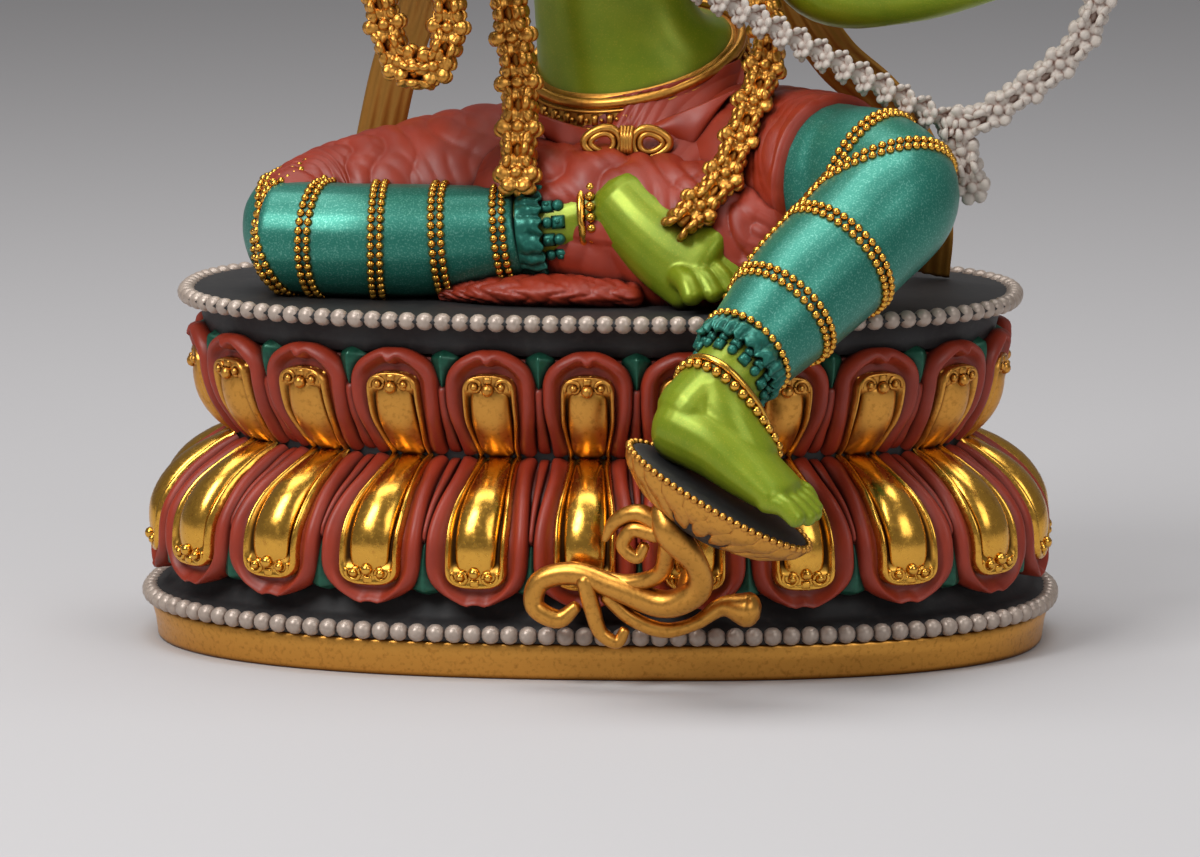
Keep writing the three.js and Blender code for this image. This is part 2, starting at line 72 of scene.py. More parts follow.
# A shape is (points, quads, tone): tone is one number a point, which its paint reads.
def grid(points, round_u=False, round_v=False, tone=0.0):
    """Quads between the points of a [u, v, xyz] array, or of a stack of such arrays."""
    nu, nv = points.shape[-3:-1]
    u, v = np.meshgrid(np.arange(nu if round_u else nu - 1), np.arange(nv if round_v else nv - 1))
    corner = [((u + i) % nu) * nv + (v + j) % nv for i, j in ((0, 0), (1, 0), (1, 1), (0, 1))]
    quads = np.stack(corner, -1).reshape(1, -1, 4)
    flat = points.reshape(-1, nu * nv, 3)
    quads = quads + (np.arange(len(flat)) * nu * nv)[:, None, None]
    tones = np.broadcast_to(tone, points.shape[:-1]).reshape(-1)
    return flat.reshape(-1, 3), quads.reshape(-1, 4), tones


def join(*shapes):
    """Several shapes as one."""
    starts = np.cumsum([0] + [len(s[0]) for s in shapes])
    return (
        np.concatenate([s[0] for s in shapes]),
        np.concatenate([s[1] + n for s, n in zip(shapes, starts)]),
        np.concatenate([s[2] for s in shapes]),
    )


def stamp(shape, places, axes=None, sizes=1.0):
    """One shape set down at many places. Axes are each place's x, y and z directions."""
    points, quads, tone = shape
    places = np.atleast_2d(places)
    count = len(places)
    sized = points[None] * np.broadcast_to(sizes, (count,))[:, None, None]
    if axes is not None:
        sized = np.einsum("nvi,nij->nvj", sized, np.broadcast_to(axes, (count, 3, 3)))
    moved = sized + places[:, None]
    quads = quads[None] + (np.arange(count) * len(points))[:, None, None]
    return moved.reshape(-1, 3), quads.reshape(-1, 4), np.tile(tone, count)


def ball(radius=1.0, around=10, rows=6, flat=1.0):
    """A sphere: rings of radius sin(v) at heights cos(v), squashed by flat."""
    u, v = np.meshgrid(np.arange(around) / around * 2 * np.pi, np.linspace(0, np.pi, rows + 1), indexing="ij")
    points = np.stack([np.cos(u) * np.sin(v), np.sin(u) * np.sin(v), np.cos(v) * flat], -1)
    return grid(points * radius, round_u=True)


def curve(stations, steps=6):
    """A smooth line through the stations, each [x, y, z, more]: cubic pieces whose slopes
    are centred differences over the square root of the distance."""
    s = np.asarray(stations, float)
    knot = np.append(0, np.cumsum(np.linalg.norm(np.diff(s[:, :3], axis=0), axis=1) ** 0.5))
    slope = np.gradient(s, knot, axis=0)
    t = np.interp(np.linspace(0, len(s) - 1, (len(s) - 1) * steps + 1), np.arange(len(s)), knot)
    i = np.clip(np.searchsorted(knot, t, "right") - 1, 0, len(s) - 2)
    h = (knot[i + 1] - knot[i])[:, None]
    f = (t - knot[i])[:, None] / h
    near = (1 + 2 * f) * (1 - f) ** 2 * s[i] + f * (1 - f) ** 2 * h * slope[i]
    return near + f * f * (3 - 2 * f) * s[i + 1] + f * f * (f - 1) * h * slope[i + 1]


def evenly(path, gap=None, count=None):
    """Points spaced evenly along a path."""
    far = np.append(0, np.cumsum(np.linalg.norm(np.diff(path[:, :3], axis=0), axis=1)))
    count = count or max(int(round(far[-1] / gap)) + 1, 2)
    want = np.linspace(0, far[-1], count)
    return np.stack([np.interp(want, far, path[:, k]) for k in range(path.shape[1])], -1)


def headings(path, up=(0, 0, 1), closed=False):
    """Sideways, upward and forward directions along a path."""
    if closed:
        along = unit(np.roll(path, -1, 0) - np.roll(path, 1, 0))
    else:
        along = unit(np.gradient(path, axis=0))
    side = unit(np.cross(along, np.broadcast_to(up, along.shape)))
    return np.stack([side, np.cross(side, along), along], 1)


def tube(path, wide, high=None, sides=12, up=(0, 0, 1), closed=False, cap=0.8, relief=None, tone=0.0):
    """An oval section carried along a path, its ends rounded off: the section at angle a is
    wide cos(a) sideways and high sin(a) upwards, plus relief(along, a) outwards."""
    wide = np.broadcast_to(wide, len(path)).astype(float)
    high = wide if high is None else np.broadcast_to(high, len(path)).astype(float)
    axes = headings(path, up, closed)
    along = np.linspace(0, 1, len(path))
    if not closed:
        rise = np.linspace(0, np.pi / 2, 5)[:-1]
        near = np.minimum(wide, high)
        order = np.r_[np.zeros(4, int), np.arange(len(path)), np.full(4, len(path) - 1)]
        share = np.r_[np.sin(rise), np.ones(len(path)), np.sin(rise[::-1])]
        push = np.r_[-np.cos(rise) * near[0], np.zeros(len(path)), np.cos(rise[::-1]) * near[-1]] * cap
        path = path[order] + axes[order, 2] * push[:, None]
        wide, high, axes, along = wide[order] * share, high[order] * share, axes[order], along[order]
    a = np.arange(sides) / sides * 2 * np.pi
    grow = 0 if relief is None else relief(along[:, None], a[None])
    out = [(w[:, None] + grow * (w > 0)[:, None])[..., None] for w in (wide, high)]
    ring = path[:, None] + out[0] * np.cos(a)[None, :, None] * axes[:, None, 0]
    ring = ring + out[1] * np.sin(a)[None, :, None] * axes[:, None, 1]
    return grid(ring, round_u=closed, round_v=True, tone=tone)


def limb(stations, sides=24, steps=8, **more):
    """A tube through stations [x, y, z, half width, half height]."""
    line = curve(stations, steps)
    return tube(line[:, :3], line[:, 3], line[:, 4], sides, **more)


# Meshes.
def mesh_of(name, shape):
    """A closed mesh from a shape: points that meet are merged and faces turned outwards."""
    points, quads, tone = shape
    mesh = bpy.data.meshes.new(name)
    mesh.vertices.add(len(points))
    mesh.vertices.foreach_set("co", (points * MM).astype(np.float32).ravel())
    mesh.loops.add(quads.size)
    mesh.loops.foreach_set("vertex_index", quads.astype(np.int32).ravel())
    mesh.polygons.add(len(quads))
    mesh.polygons.foreach_set("loop_start", np.arange(0, quads.size, 4, dtype=np.int32))
    mesh.update(calc_edges=True)
    layer = mesh.attributes.new("tone", "FLOAT", "POINT")
    layer.data.foreach_set("value", tone.astype(np.float32))
    work = bmesh.new()
    work.from_mesh(mesh)
    bmesh.ops.remove_doubles(work, verts=work.verts, dist=2e-6)
    bmesh.ops.recalc_face_normals(work, faces=work.faces)
    work.to_mesh(mesh)
    work.free()
    return mesh


def piece(name, shape, paint, slot, *nodes, smooth=True):
    """A piece of the statue: its mesh, paint, material slot (not used) and the nodes it stands for."""
    mesh = shape if isinstance(shape, bpy.types.Mesh) else mesh_of(name, shape)
    mesh.shade_smooth() if smooth else mesh.shade_flat()
    mesh.materials.append(paint)
    made = bpy.data.objects.new(name, mesh)
    bpy.context.scene.collection.objects.link(made)
    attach(made, "root")
    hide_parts(*nodes)
    return made


def fused(name, shape, voxel, smooth=6, pull=0.6):
    """Shapes that overlap, made one skin: a voxel remesh, then its steps smoothed away."""
    rough = bpy.data.objects.new(name, mesh_of(name, shape))
    bpy.context.scene.collection.objects.link(rough)
    wrap = rough.modifiers.new("wrap", "REMESH")
    wrap.voxel_size = voxel * MM
    soften = rough.modifiers.new("soften", "SMOOTH")
    soften.iterations = smooth
    soften.factor = pull
    graph = bpy.context.evaluated_depsgraph_get()
    mesh = bpy.data.meshes.new_from_object(rough.evaluated_get(graph))
    bpy.data.objects.remove(rough)
    return mesh


# The camera, as the photograph was taken: a long lens, a little above the seat.
camera = bpy.data.objects.new("camera", bpy.data.cameras.new("camera"))
bpy.context.scene.collection.objects.link(camera)
camera.location = (0.1658, -1.9931, 0.358)
camera.rotation_euler = (np.pi / 2 - 0.151, 0, 0.083)
camera.data.sensor_width = 36
camera.data.lens = 232
bpy.context.scene.camera = camera


# Paints.
def linear(colour):
    """A paint's sRGB hex colour as linear red, green, blue and alpha."""
    c = np.array([int(colour[i : i + 2], 16) for i in (1, 3, 5)]) / 255
    c = np.where(c <= 0.04045, c / 12.92, ((c + 0.055) / 1.055) ** 2.4)
    return (*c, 1.0)


def add(mat, kind, inputs, **settings):
    """Adds a node to a material: settings are its properties, and an input that is a socket is
    linked, otherwise set."""
    made = mat.node_tree.nodes.new("ShaderNode" + kind)
    for key, value in settings.items():
        setattr(made, key, value)
    for key, value in inputs.items():
        if isinstance(value, bpy.types.NodeSocket):
            mat.node_tree.links.new(value, made.inputs[key])
        else:
            made.inputs[key].default_value = value
    return made


def specks(size, low, high, detail=3.0, stretch=(1, 1, 1)):
    """A mask of soft blots, size millimetres across: 0 below low and 1 above high."""

    def mask(mat):
        where = add(mat, "TexCoord", {}).outputs["Object"]
        scaled = add(mat, "Mapping", {"Vector": where, "Scale": stretch})
        noise = add(mat, "TexNoise", {"Vector": scaled.outputs[0], "Scale": 1 / (size * MM), "Detail": detail})
        return add(mat, "MapRange", {0: noise.outputs[0], 1: low, 2: high}, clamp=True).outputs[0]

    return mask


def wash_and_shade(reach, low=0.35, high=0.9):
    """A mask of painted shade and brown wash: creases darkened by ambient occlusion within reach millimetres, where
    shade falls and a brown wash has settled.
    """

    def mask(mat):
        shut = add(mat, "AmbientOcclusion", {"Distance": reach * MM}, samples=8)
        return add(mat, "MapRange", {0: shut.outputs["AO"], 1: high, 2: low}, clamp=True).outputs[0]

    return mask


def toned(low=0.0, high=1.0):
    """A mask from the mesh's own tone."""

    def mask(mat):
        tone = add(mat, "Attribute", {}, attribute_name="tone")
        return add(mat, "MapRange", {0: tone.outputs["Fac"], 1: low, 2: high}, clamp=True).outputs[0]

    return mask


def both(one, other):
    """A mask where two masks meet."""

    def mask(mat):
        return add(mat, "Math", {0: one(mat), 1: other(mat)}, operation="MULTIPLY").outputs[0]

    return mask


def finish(name, base, coats, rough=0.5, metallic=0.0, grain=None, rough_coats=(), **sockets):
    """A paint: a base colour under coats of (mask, colour, strength), laid one over another.
    Rough coats are (mask, roughness), and grain is (size in mm, depth in mm)."""
    mat = bpy.data.materials.new(name)
    mat.use_nodes = True
    shader = mat.node_tree.nodes["Principled BSDF"]
    shader.inputs["Metallic"].default_value = metallic
    shader.inputs["Roughness"].default_value = rough
    for key, value in sockets.items():
        shader.inputs[key.replace("_", " ")].default_value = value
    colour = linear(base)
    for mask, over, strength in coats:
        share = add(mat, "Math", {0: mask(mat), 1: strength}, operation="MULTIPLY").outputs[0]
        colour = add(mat, "Mix", {0: share, 6: colour, 7: linear(over)}, data_type="RGBA").outputs[2]
    if coats:
        mat.node_tree.links.new(colour, shader.inputs["Base Color"])
    else:
        shader.inputs["Base Color"].default_value = colour
    value = rough
    for mask, over in rough_coats:
        value = add(mat, "Mix", {0: mask(mat), 2: value, 3: over}).outputs[0]
    if rough_coats:
        mat.node_tree.links.new(value, shader.inputs["Roughness"])
    if grain:
        where = add(mat, "TexCoord", {}).outputs["Object"]
        noise = add(mat, "TexNoise", {"Vector": where, "Scale": 1 / (grain[0] * MM), "Detail": 3.0})
        bump = add(mat, "Bump", {"Height": noise.outputs[0], "Distance": grain[1] * MM, "Strength": 1.0})
        mat.node_tree.links.new(bump.outputs[0], shader.inputs["Normal"])
    return mat


# Acrylic red, brushed on cast resin: satin, with a brown wash wiped into the creases and painted shade darkening them.
RED = finish(
    "red_paint", "#9c3118",
    [(specks(9, 0.35, 0.7), "#7d2411", 0.6), (wash_and_shade(2.6, 0.3, 0.85), "#2c0d08", 0.9), (toned(), "#c0862e", 0.9)],
    rough=0.42, grain=(0.5, 0.015), rough_coats=[(specks(3, 0.3, 0.7), 0.52)],
)
# Bright gold paint, burnished: a mirror-like yellow with a few worn brown pits, and painted shade in brown in its
# creases.
BRIGHT_GOLD = finish(
    "bright_gold", "#eab04a",
    [(specks(1.6, 0.58, 0.72), "#b87a34", 0.45), (wash_and_shade(1.5, 0.25, 0.75), "#8a4a17", 0.8), (toned(), "#2e1a12", 0.97)],
    rough=0.2, metallic=1.0, grain=(1.6, 0.02), rough_coats=[(specks(1.2, 0.45, 0.7), 0.3), (toned(), 0.6)],
)
# The same gold left duller under a brown wash, with painted shade in its creases.
ANTIQUE_GOLD = finish(
    "antique_gold", "#d99c48",
    [(specks(1.2, 0.52, 0.75), "#a56a2c", 0.6), (wash_and_shade(1.8, 0.3, 0.8), "#6b3a16", 0.9), (toned(), "#2e1a12", 0.97)],
    rough=0.32, metallic=1.0, grain=(0.6, 0.02), rough_coats=[(specks(0.8, 0.4, 0.7), 0.45), (toned(), 0.6)],
)
# Matte black ground, dusty.
BLACK = finish(
    "black_paint", "#1e1d1e",
    [(specks(2.5, 0.5, 0.8), "#3b3836", 0.5), (specks(14, 0.45, 0.7), "#2b2928", 0.6)],
    rough=0.62, grain=(0.6, 0.02),
)
# Grey-pink pearl paint with brown wash and painted shade in the gaps.
PEARL_PAINT = finish(
    "pearl_paint", "#b3a396",
    [(specks(2.2, 0.45, 0.75), "#98877b", 0.7), (wash_and_shade(1.6, 0.3, 0.8), "#5a4034", 0.85)],
    rough=0.36, metallic=0.25, grain=(0.5, 0.01),
)
# Dark green metallic paint on the sepals, with painted shade in its creases.
DARK_GREEN = finish(
    "dark_green_paint", "#1f5a45",
    [(specks(1.5, 0.45, 0.7), "#123a2e", 0.6), (wash_and_shade(2.0), "#0c1c17", 0.85)],
    rough=0.34, metallic=0.4, grain=(0.4, 0.015),
)
# Teal metallic paint with fine glitter, drawn a little coarser than it is so that it shows, and painted shade in its
# creases.
TEAL = finish(
    "teal_paint", "#2b7d6c",
    [(specks(0.45, 0.52, 0.66), "#79b8a8", 0.5), (wash_and_shade(2.0), "#33302a", 0.8), (toned(0, 1), "#4a4238", 0.75)],
    rough=0.36, metallic=0.5, grain=(0.35, 0.012),
)
# The same teal, darker, on the frills, with painted shade in their creases.
DARK_TEAL = finish(
    "dark_teal_paint", "#1f6a5c",
    [(specks(1.0, 0.5, 0.7), "#3f9583", 0.5), (wash_and_shade(2.0, 0.35, 0.85), "#1c211c", 0.9)],
    rough=0.38, metallic=0.45, grain=(0.5, 0.02),
)
# Lime green metallic paint on the skin, with a yellow glint, and painted shade darkening its creases.
GREEN = finish(
    "green_paint", "#86981a",
    [(specks(7, 0.4, 0.7), "#6f8a14", 0.6), (specks(0.4, 0.55, 0.7), "#b5a834", 0.4), (wash_and_shade(3.0), "#3a3012", 0.85)],
    rough=0.36, metallic=0.35, grain=(0.3, 0.008),
)
# Chalky white on the bow's flowers, with a pinkish brown wash and painted shade in the creases.
WHITE = finish(
    "white_paint", "#c4bab0",
    [(specks(2.0, 0.4, 0.7), "#b0a499", 0.6), (wash_and_shade(1.6, 0.3, 0.85), "#8a5a48", 0.8)],
    rough=0.55, grain=(0.4, 0.02),
)
# Golden brown on the scarves, striped lengthwise by the brush, with painted shade in the creases.
BROWN_GOLD = finish(
    "brown_gold", "#a9762e",
    [(toned(0, 1), "#3a220f", 0.9), (wash_and_shade(2.0), "#2a180c", 0.8)],
    rough=0.4, metallic=0.6, grain=(0.6, 0.02),
)


# The plinth's oval. A place along it is counted in petals, from the one in front.
OVAL_FINE = 4000


def oval(angle, half):
    """The oval at an angle: each of cos and sin to the power 2 / 2.4, times its half size."""
    c, s = np.cos(angle), np.sin(angle)
    x = np.sign(c) * np.abs(c) ** (2 / ROUND_POWER) * half
    y = np.sign(s) * np.abs(s) ** (2 / ROUND_POWER) * (half - DEPTH_LESS)
    return x, y


oval_angle = np.linspace(0, 2 * np.pi, OVAL_FINE + 1)
oval_far = np.append(0, np.cumsum(np.hypot(*np.diff(oval(oval_angle, UPPER_RIM[0])))))
PITCH = oval_far[-1] / PETALS


def wall(place, half, z, out=0.0):
    """Points round the oval at places counted in petals, at half widths and heights, pushed
    out along the oval's own normal."""
    far = (np.asarray(place) / PETALS + 0.75) * oval_far[-1] + PETAL_PHASE
    angle = np.interp(far % oval_far[-1], oval_far, oval_angle)
    x, y = oval(angle, half)
    ahead, behind = oval(angle + 1e-3, half), oval(angle - 1e-3, half)
    tx, ty = ahead[0] - behind[0], ahead[1] - behind[1]
    size = np.hypot(tx, ty)
    return np.stack(np.broadcast_arrays(x + ty / size * out, y - tx / size * out, z), -1)


def band(profile, tone=0.0, around=440):
    """A profile of (half width, height) points carried round the oval, closed on itself."""
    half, z = np.array(profile, float).T
    place = np.arange(around) / around * PETALS
    return grid(wall(place[:, None], half[None], z[None]), round_u=True, round_v=True, tone=tone)


def rounded(profile, steps=5):
    """A profile with its corners softened."""
    p = np.array([(h, 0, z) for h, z in profile], float)
    line = curve(p, steps)
    return line[:, [0, 2]]


CORE = [
    (60, 9), (110, 9), (117.4, 9.6), (118.4, 11.4), (116.6, 13.2), (113.4, 14.2), (111.6, 15.4), (110.6, 18), (108, 22),
    (96, 30), (96, 80), (103, 81), (103.8, 84), (104.6, 87.4), (107.9, 88.6), (109.6, 90), (108.2, 91.2), (106.4, 90.9),
    (104, 91), (90, 91), (60, 91),
]
GROUND = [(92, 20), (109, 21), (112.6, 24), (113.4, 31), (111.6, 38), (106.6, 45), (99, 50.6), (94, 54), (97, 58),
          (100.6, 65), (102.2, 72), (102.4, 80), (92, 81)]
FOOT = [
    (60, 0), (112, 0), (115.4, 0), (115.9, 0.5), (116, 1.4), (116.5, 5), (117.4, 8.6), (116.5, 9.9), (60, 9.9),
]


def filled_band(profile, around=440):
    """A profile carried round the oval and closed to the middle at both ends."""
    half, z = np.array(profile, float).T
    place = np.arange(around) / around * PETALS
    points = wall(place[:, None], half[None], z[None])
    first, last = points[:, :1].copy(), points[:, -1:].copy()
    first[..., :2] = last[..., :2] = 0
    return grid(np.concatenate([first, points, last], 1), round_u=True)


piece("plinth_core", filled_band(CORE), BLACK, "black_paint", "plinth")
piece("lotus_ground", filled_band(GROUND), RED, "red_paint", "plinth")
piece("foot_band", filled_band(FOOT), ANTIQUE_GOLD, "antique_gold", "plinth")


def pearls(rim, radius, gap):
    """Pearls round a rim, each turned with the oval."""
    half, z = rim
    around = wall(np.linspace(0, PETALS, 4001), half, z)
    spots = evenly(around, gap)[:-1]
    return stamp(ball(radius, 12, 7, 0.94), spots)


piece("lower_pearls", pearls(LOWER_RIM, PEARL + 0.05, 4.78), PEARL_PAINT, "pearl_paint", "plinth")
piece("upper_pearls", pearls(UPPER_RIM, PEARL - 0.02, 4.62), PEARL_PAINT, "pearl_paint", "plinth")


class Petals:
    """A row of petals. A point of a petal is given by how far across it lies, how far from
    the waist along the row's profile, and how high it stands off that profile."""

    def __init__(self, profile, first=0.0):
        self.line = curve([(half, 0, z) for half, z in profile], 12)[:, [0, 2]]
        self.far = np.append(0, np.cumsum(np.linalg.norm(np.diff(self.line, axis=0), axis=1)))
        self.length = self.far[-1]
        slope = unit(np.gradient(self.line, axis=0))
        way = np.sign(profile[0][1] - profile[-1][1])
        self.out = np.stack([-slope[:, 1], slope[:, 0]], -1) * way
        self.slope = slope
        self.first = first

    def place(self, across, down, high):
        """Points of every petal in the row, as [petal, ..., xyz]. Past either end the profile
        runs on straight, and heights are less at the waist."""
        across, down, high = np.broadcast_arrays(across, down, high)
        high = high * (0.62 + 0.38 * step(0, 9, down))
        inside = np.clip(down, 0, self.length)
        half, z, out_h, out_z, way_h, way_z = (
            np.interp(inside, self.far, column)
            for column in (*self.line.T, *self.out.T, *self.slope.T)
        )
        half, z = half + way_h * (down - inside) + out_h * high, z + way_z * (down - inside) + out_z * high
        which = np.arange(PETALS).reshape((PETALS,) + (1,) * across.ndim) + self.first
        return wall(which + across / (PITCH * half / UPPER_RIM[0]), half, z)

    def between(self):
        """The same row, counted from the middle between two petals."""
        other = object.__new__(Petals)
        other.__dict__.update(self.__dict__, first=self.first + 0.5)
        return other


LOWER = Petals([(97.6, 55), (104.6, 51.4), (112.6, 45), (117.8, 37), (119.1, 29), (118.2, 21.5), (115.6, 16.4)])
UPPER = Petals([(97.6, 53.6), (101.4, 57.4), (105.6, 64), (107.8, 72), (107.6, 79), (105.6, 84)])


def outline(length, waist, wide, rise, power=2.1, count=64, widest=0.85):
    """A petal's edge as (across, down), from the waist down one side, round the tip and back:
    the sides widen from waist to wide, and the tip is a rounded oval, rise high."""
    t = np.linspace(0, np.pi / 2, 60)
    straight = length - rise
    side = np.linspace(straight, 0, 40)[1:]
    across = np.append(wide * np.sin(t) ** (2 / power), waist + (wide - waist) * step(0, straight * widest, side))
    down = np.append(straight + rise * np.cos(t) ** (2 / power), side)
    half = np.stack([across, down], -1)
    return evenly(np.concatenate([(half * (-1, 1))[::-1], half[1:]]), count=count)


def edge_gap(edge, across, down):
    """How far points lie inside an edge."""
    apart = np.stack([across, down], -1)[..., None, :] - evenly(edge, count=220)
    return np.linalg.norm(apart, axis=-1).min(-1)


def over_all(tone, shape):
    """One petal's tones, repeated for the whole row."""
    return np.broadcast_to(tone, (PETALS, *shape))


LOBE_OFF = np.array([-0.4, 0, 0.25, 0.6, 1.1, 1.8, 2.4, 2.8, 3.1, 3.5, 4.2, 5.0, 6.2])
LOBE_SIDE = np.array([-7, -4.9, -3.2, -2.1, -1.6, -1.45, -1.55, -1.8, -2.0, -2.4, -3.0, -3.3, -3.4])


def lobes(row, waist, wide, rise, lip, tip_heights, point):
    """The red lobes: a profile of heights carried round each petal's edge. It is a broad
    border at the sides and swells at the tip to a lip, whose line has a small point."""
    edge = outline(row.length, waist, wide, rise)
    slope = unit(np.gradient(edge, axis=0))
    inward = np.stack([slope[:, 1], -slope[:, 0]], -1)
    tip = (step(row.length - 11, row.length - 3.5, edge[:, 1]) * hump(edge[:, 0], 0, wide))[:, None]
    nose = point * hump(edge[:, 0], 0, 1.1)[:, None] - 0.5 * hump(np.abs(edge[:, 0]), 3.4, 1.8)[:, None]
    off = LOBE_OFF + tip * (nose + lip - 2.8) * hump(LOBE_OFF, 3.0, 1.6)
    at = edge[:, None] + inward[:, None] * off[..., None]
    high = LOBE_SIDE + (np.array(tip_heights) - LOBE_SIDE) * tip
    across = np.concatenate([at[..., 0], at[:, -1:, 0] * 0, at[:, :1, 0] * 0.8], 1)
    down = np.concatenate([at[..., 1], np.minimum(at[:, -1:, 1], row.length - 9), at[:, :1, 1]], 1)
    high = np.concatenate([high, high[:, -1:], high[:, :1] - 1], 1)
    return grid(row.place(across, down, high), round_v=True)


def gold_plates(row, start, stop, waist, wide, wire, brown):
    """The gold plate in each lobe: flat, with a wire along its edge and a brown groove inside
    the wire, which ends before the tip."""
    edge = outline(stop, waist, wide, 5.6, 2.7, widest=0.7)
    v = np.linspace(0, 1, 44)
    down = start + (stop - start) * (1 - (1 - v) ** 1.35)
    reach = np.interp(down, edge[len(edge) // 2 :, 1][::-1], edge[len(edge) // 2 :, 0][::-1])
    reach[-1] = 0
    u = np.linspace(-1, 1, 45)
    u = np.sign(u) * (1 - (1 - np.abs(u)) ** 1.25)
    across, down = reach[:, None] * u, down[:, None] * np.ones_like(u)
    inside = edge_gap(edge, across, down)
    side = 1 - step(stop - 7.5, stop - 4.5, down)
    side = side * step(wide * 0.25, wide * 0.45, np.abs(across))
    high = -3.7 + 1.5 * step(0, 0.4, inside) + 0.9 * hump(inside, wire, wire * 0.7)
    high = high - 0.75 * side * step(wire * 1.7, wire * 2.2, inside)
    tone = brown * side * step(wire * 1.75, wire * 2.1, inside)
    high = high + 0.5 * (1 - side) * step(0.6, 2, inside)
    back = np.full_like(high, -5.0)
    points = row.place(
        np.concatenate([across, across[:, ::-1]], 1), np.concatenate([down, down], 1), np.concatenate([high, back], 1)
    )
    tone = np.concatenate([tone, tone * 0], 1)
    return grid(points, round_v=True, tone=over_all(tone, tone.shape))


def tongues(row, start, stop, widths, crest, floor):
    """The gold tongues: pillows whose half width goes through widths at the start, the middle
    and the end, and whose section is half an oval."""
    w = (1 - np.cos(np.pi * np.linspace(0, 1, 27))) / 2
    down = start + (stop - start) * w
    round_off = np.sqrt(np.clip(1 - (2 * w - 1) ** 12, 0, 1))
    width = curve([(0, 0, 0, widths[0]), (1, 0, 0, widths[1]), (2, 0, 0, widths[2])], 12)[:, 3]
    width = np.interp(w, np.linspace(0, 1, len(width)), width) * round_off
    swell = crest * (0.5 + 0.5 * np.sin(np.pi * w ** 0.9)) * round_off
    a = np.arange(26) / 26 * 2 * np.pi
    lift = floor + swell[:, None] * np.sin(a) * np.where(np.sin(a) > 0, 1, 0.3)
    return grid(row.place(width[:, None] * np.cos(a), down[:, None], lift), round_v=True)


def curls(row, stop, out, up, bead_up, wire, drop):
    """The gold curls at the tip: a wire that turns round a small ball on each side, a bead
    between them and a block below it."""
    turn = np.linspace(-0.1 * np.pi, 1.5 * np.pi, 22)
    reach = (out * 0.62) * (1 - 0.5 * (turn / turn[-1]))
    shapes = []
    for way in (-1, 1):
        line = row.place(way * (out + reach * np.cos(turn)), stop - up + reach * np.sin(turn), -1.75)
        shapes += [tube(one, wire, sides=8, cap=1) for one in line]
        shapes.append(stamp(ball(wire * 1.75, 12, 8), row.place(way * out, stop - up, -1.35)))
    shapes.append(stamp(ball(wire * drop, 14, 10), row.place(0, stop - bead_up, -1.3)))
    s = np.linspace(-1, 1, 7)
    x, y = np.meshgrid(s, s, indexing="ij")
    puff = 1 - np.maximum(np.abs(x), np.abs(y)) ** 6
    for count, sign in ((0, 1), (1, -1)):
        across, down = x * wire * 2.6, stop - bead_up + wire * 4.6 + y * wire * 2.2
        shapes.append(grid(row.place(across * (0.8 + 0.2 * puff), down, -2.6 + sign * 1.5 * puff)))
    return join(*shapes)


def ridges(row, start, stop, wide_start, wide_stop, high):
    """The narrow ridge between two petals, from the waist to the sepal."""
    v = np.linspace(0, 1, 18)
    a = np.arange(12) / 12 * 2 * np.pi
    width = (wide_start + (wide_stop - wide_start) * v)[:, None]
    lift = high + 1.3 * np.sin(a) * np.sqrt(np.clip(np.minimum(v + 0.02, 1 - v) * 10, 0, 1))[:, None]
    return grid(row.place(width * np.cos(a), (start + (stop - start) * v)[:, None], lift), round_v=True)


def sepals(row, apex, base, wide, crest, floor, blunt):
    """The green sepals between the petals: a wedge of two facets from a pointed apex to a
    wide base, which is cut off by a facet of its own."""
    v = np.linspace(0, 1, 25) ** 0.9
    u = np.linspace(-1, 1, 17)
    width = wide * (0.12 + 0.88 * v ** 0.85) * np.sqrt(np.clip((1.001 - v) / blunt, 0, 1)) ** 0.7
    ridge = 1 - np.abs(u) ** 1.1
    top = crest * (0.2 + 0.8 * v) * np.minimum(1, np.clip((1 - v) / blunt, 0, 1))
    lift = floor + top[:, None] * ridge + 0.5 * (1 - u ** 8)
    across = np.concatenate([width[:, None] * u, width[:, None] * u[::-1]], 1)
    lift = np.concatenate([lift, np.full_like(lift, floor - 2.5)], 1)
    return grid(row.place(across, (apex + (base - apex) * v)[:, None], lift), round_v=True)


LOWER_LIP = [-7, -5.4, -4.6, -3.6, -2.5, -1.1, -0.2, 0.25, 0.1, -0.9, -2.6, -3.3, -3.4]
UPPER_LIP = [-7, -4.2, -2.8, -1.4, -0.3, 0.5, 0.8, 0.7, 0.1, -1.6, -3.2, -3.5, -3.4]
lower_red = join(
    lobes(LOWER, 9.9, 13.3, 14.5, 2.8, LOWER_LIP, 1.0),
    ridges(LOWER.between(), -0.5, LOWER.length - 19.5, 1.3, 0.7, -3.7),
)
piece("lower_petals", lower_red, RED, "red_paint", "plinth")
upper_red = join(
    lobes(UPPER, 9.6, 11.7, 11.5, 3.9, UPPER_LIP, 1.5),
    ridges(UPPER.between(), -0.5, UPPER.length - 11.5, 1.6, 1.3, -4.0),
)
piece("upper_petals", upper_red, RED, "red_paint", "plinth")
LOWER_GOLD, UPPER_GOLD = LOWER.length - 6.6, UPPER.length - 7.6
lower_gold = join(
    gold_plates(LOWER, -0.6, LOWER_GOLD, 5.6, 8.1, 0.95, 1.0),
    tongues(LOWER, -1.5, LOWER_GOLD - 3.4, (3.5, 5.4, 5.3), 3.2, -3.0),
    curls(LOWER, LOWER_GOLD, 3.6, 3.9, 5.0, 0.62, 2.5),
)
piece("lower_gold", lower_gold, BRIGHT_GOLD, "bright_gold", "plinth")
upper_gold = join(
    gold_plates(UPPER, 0, UPPER_GOLD, 5.6, 7.1, 0.75, 0.85),
    tongues(UPPER, -1.8, UPPER_GOLD - 3.6, (3.8, 5.2, 4.9), 3.0, -3.0),
    curls(UPPER, UPPER_GOLD, 3.5, 3.6, 4.4, 0.56, 2.9),
)
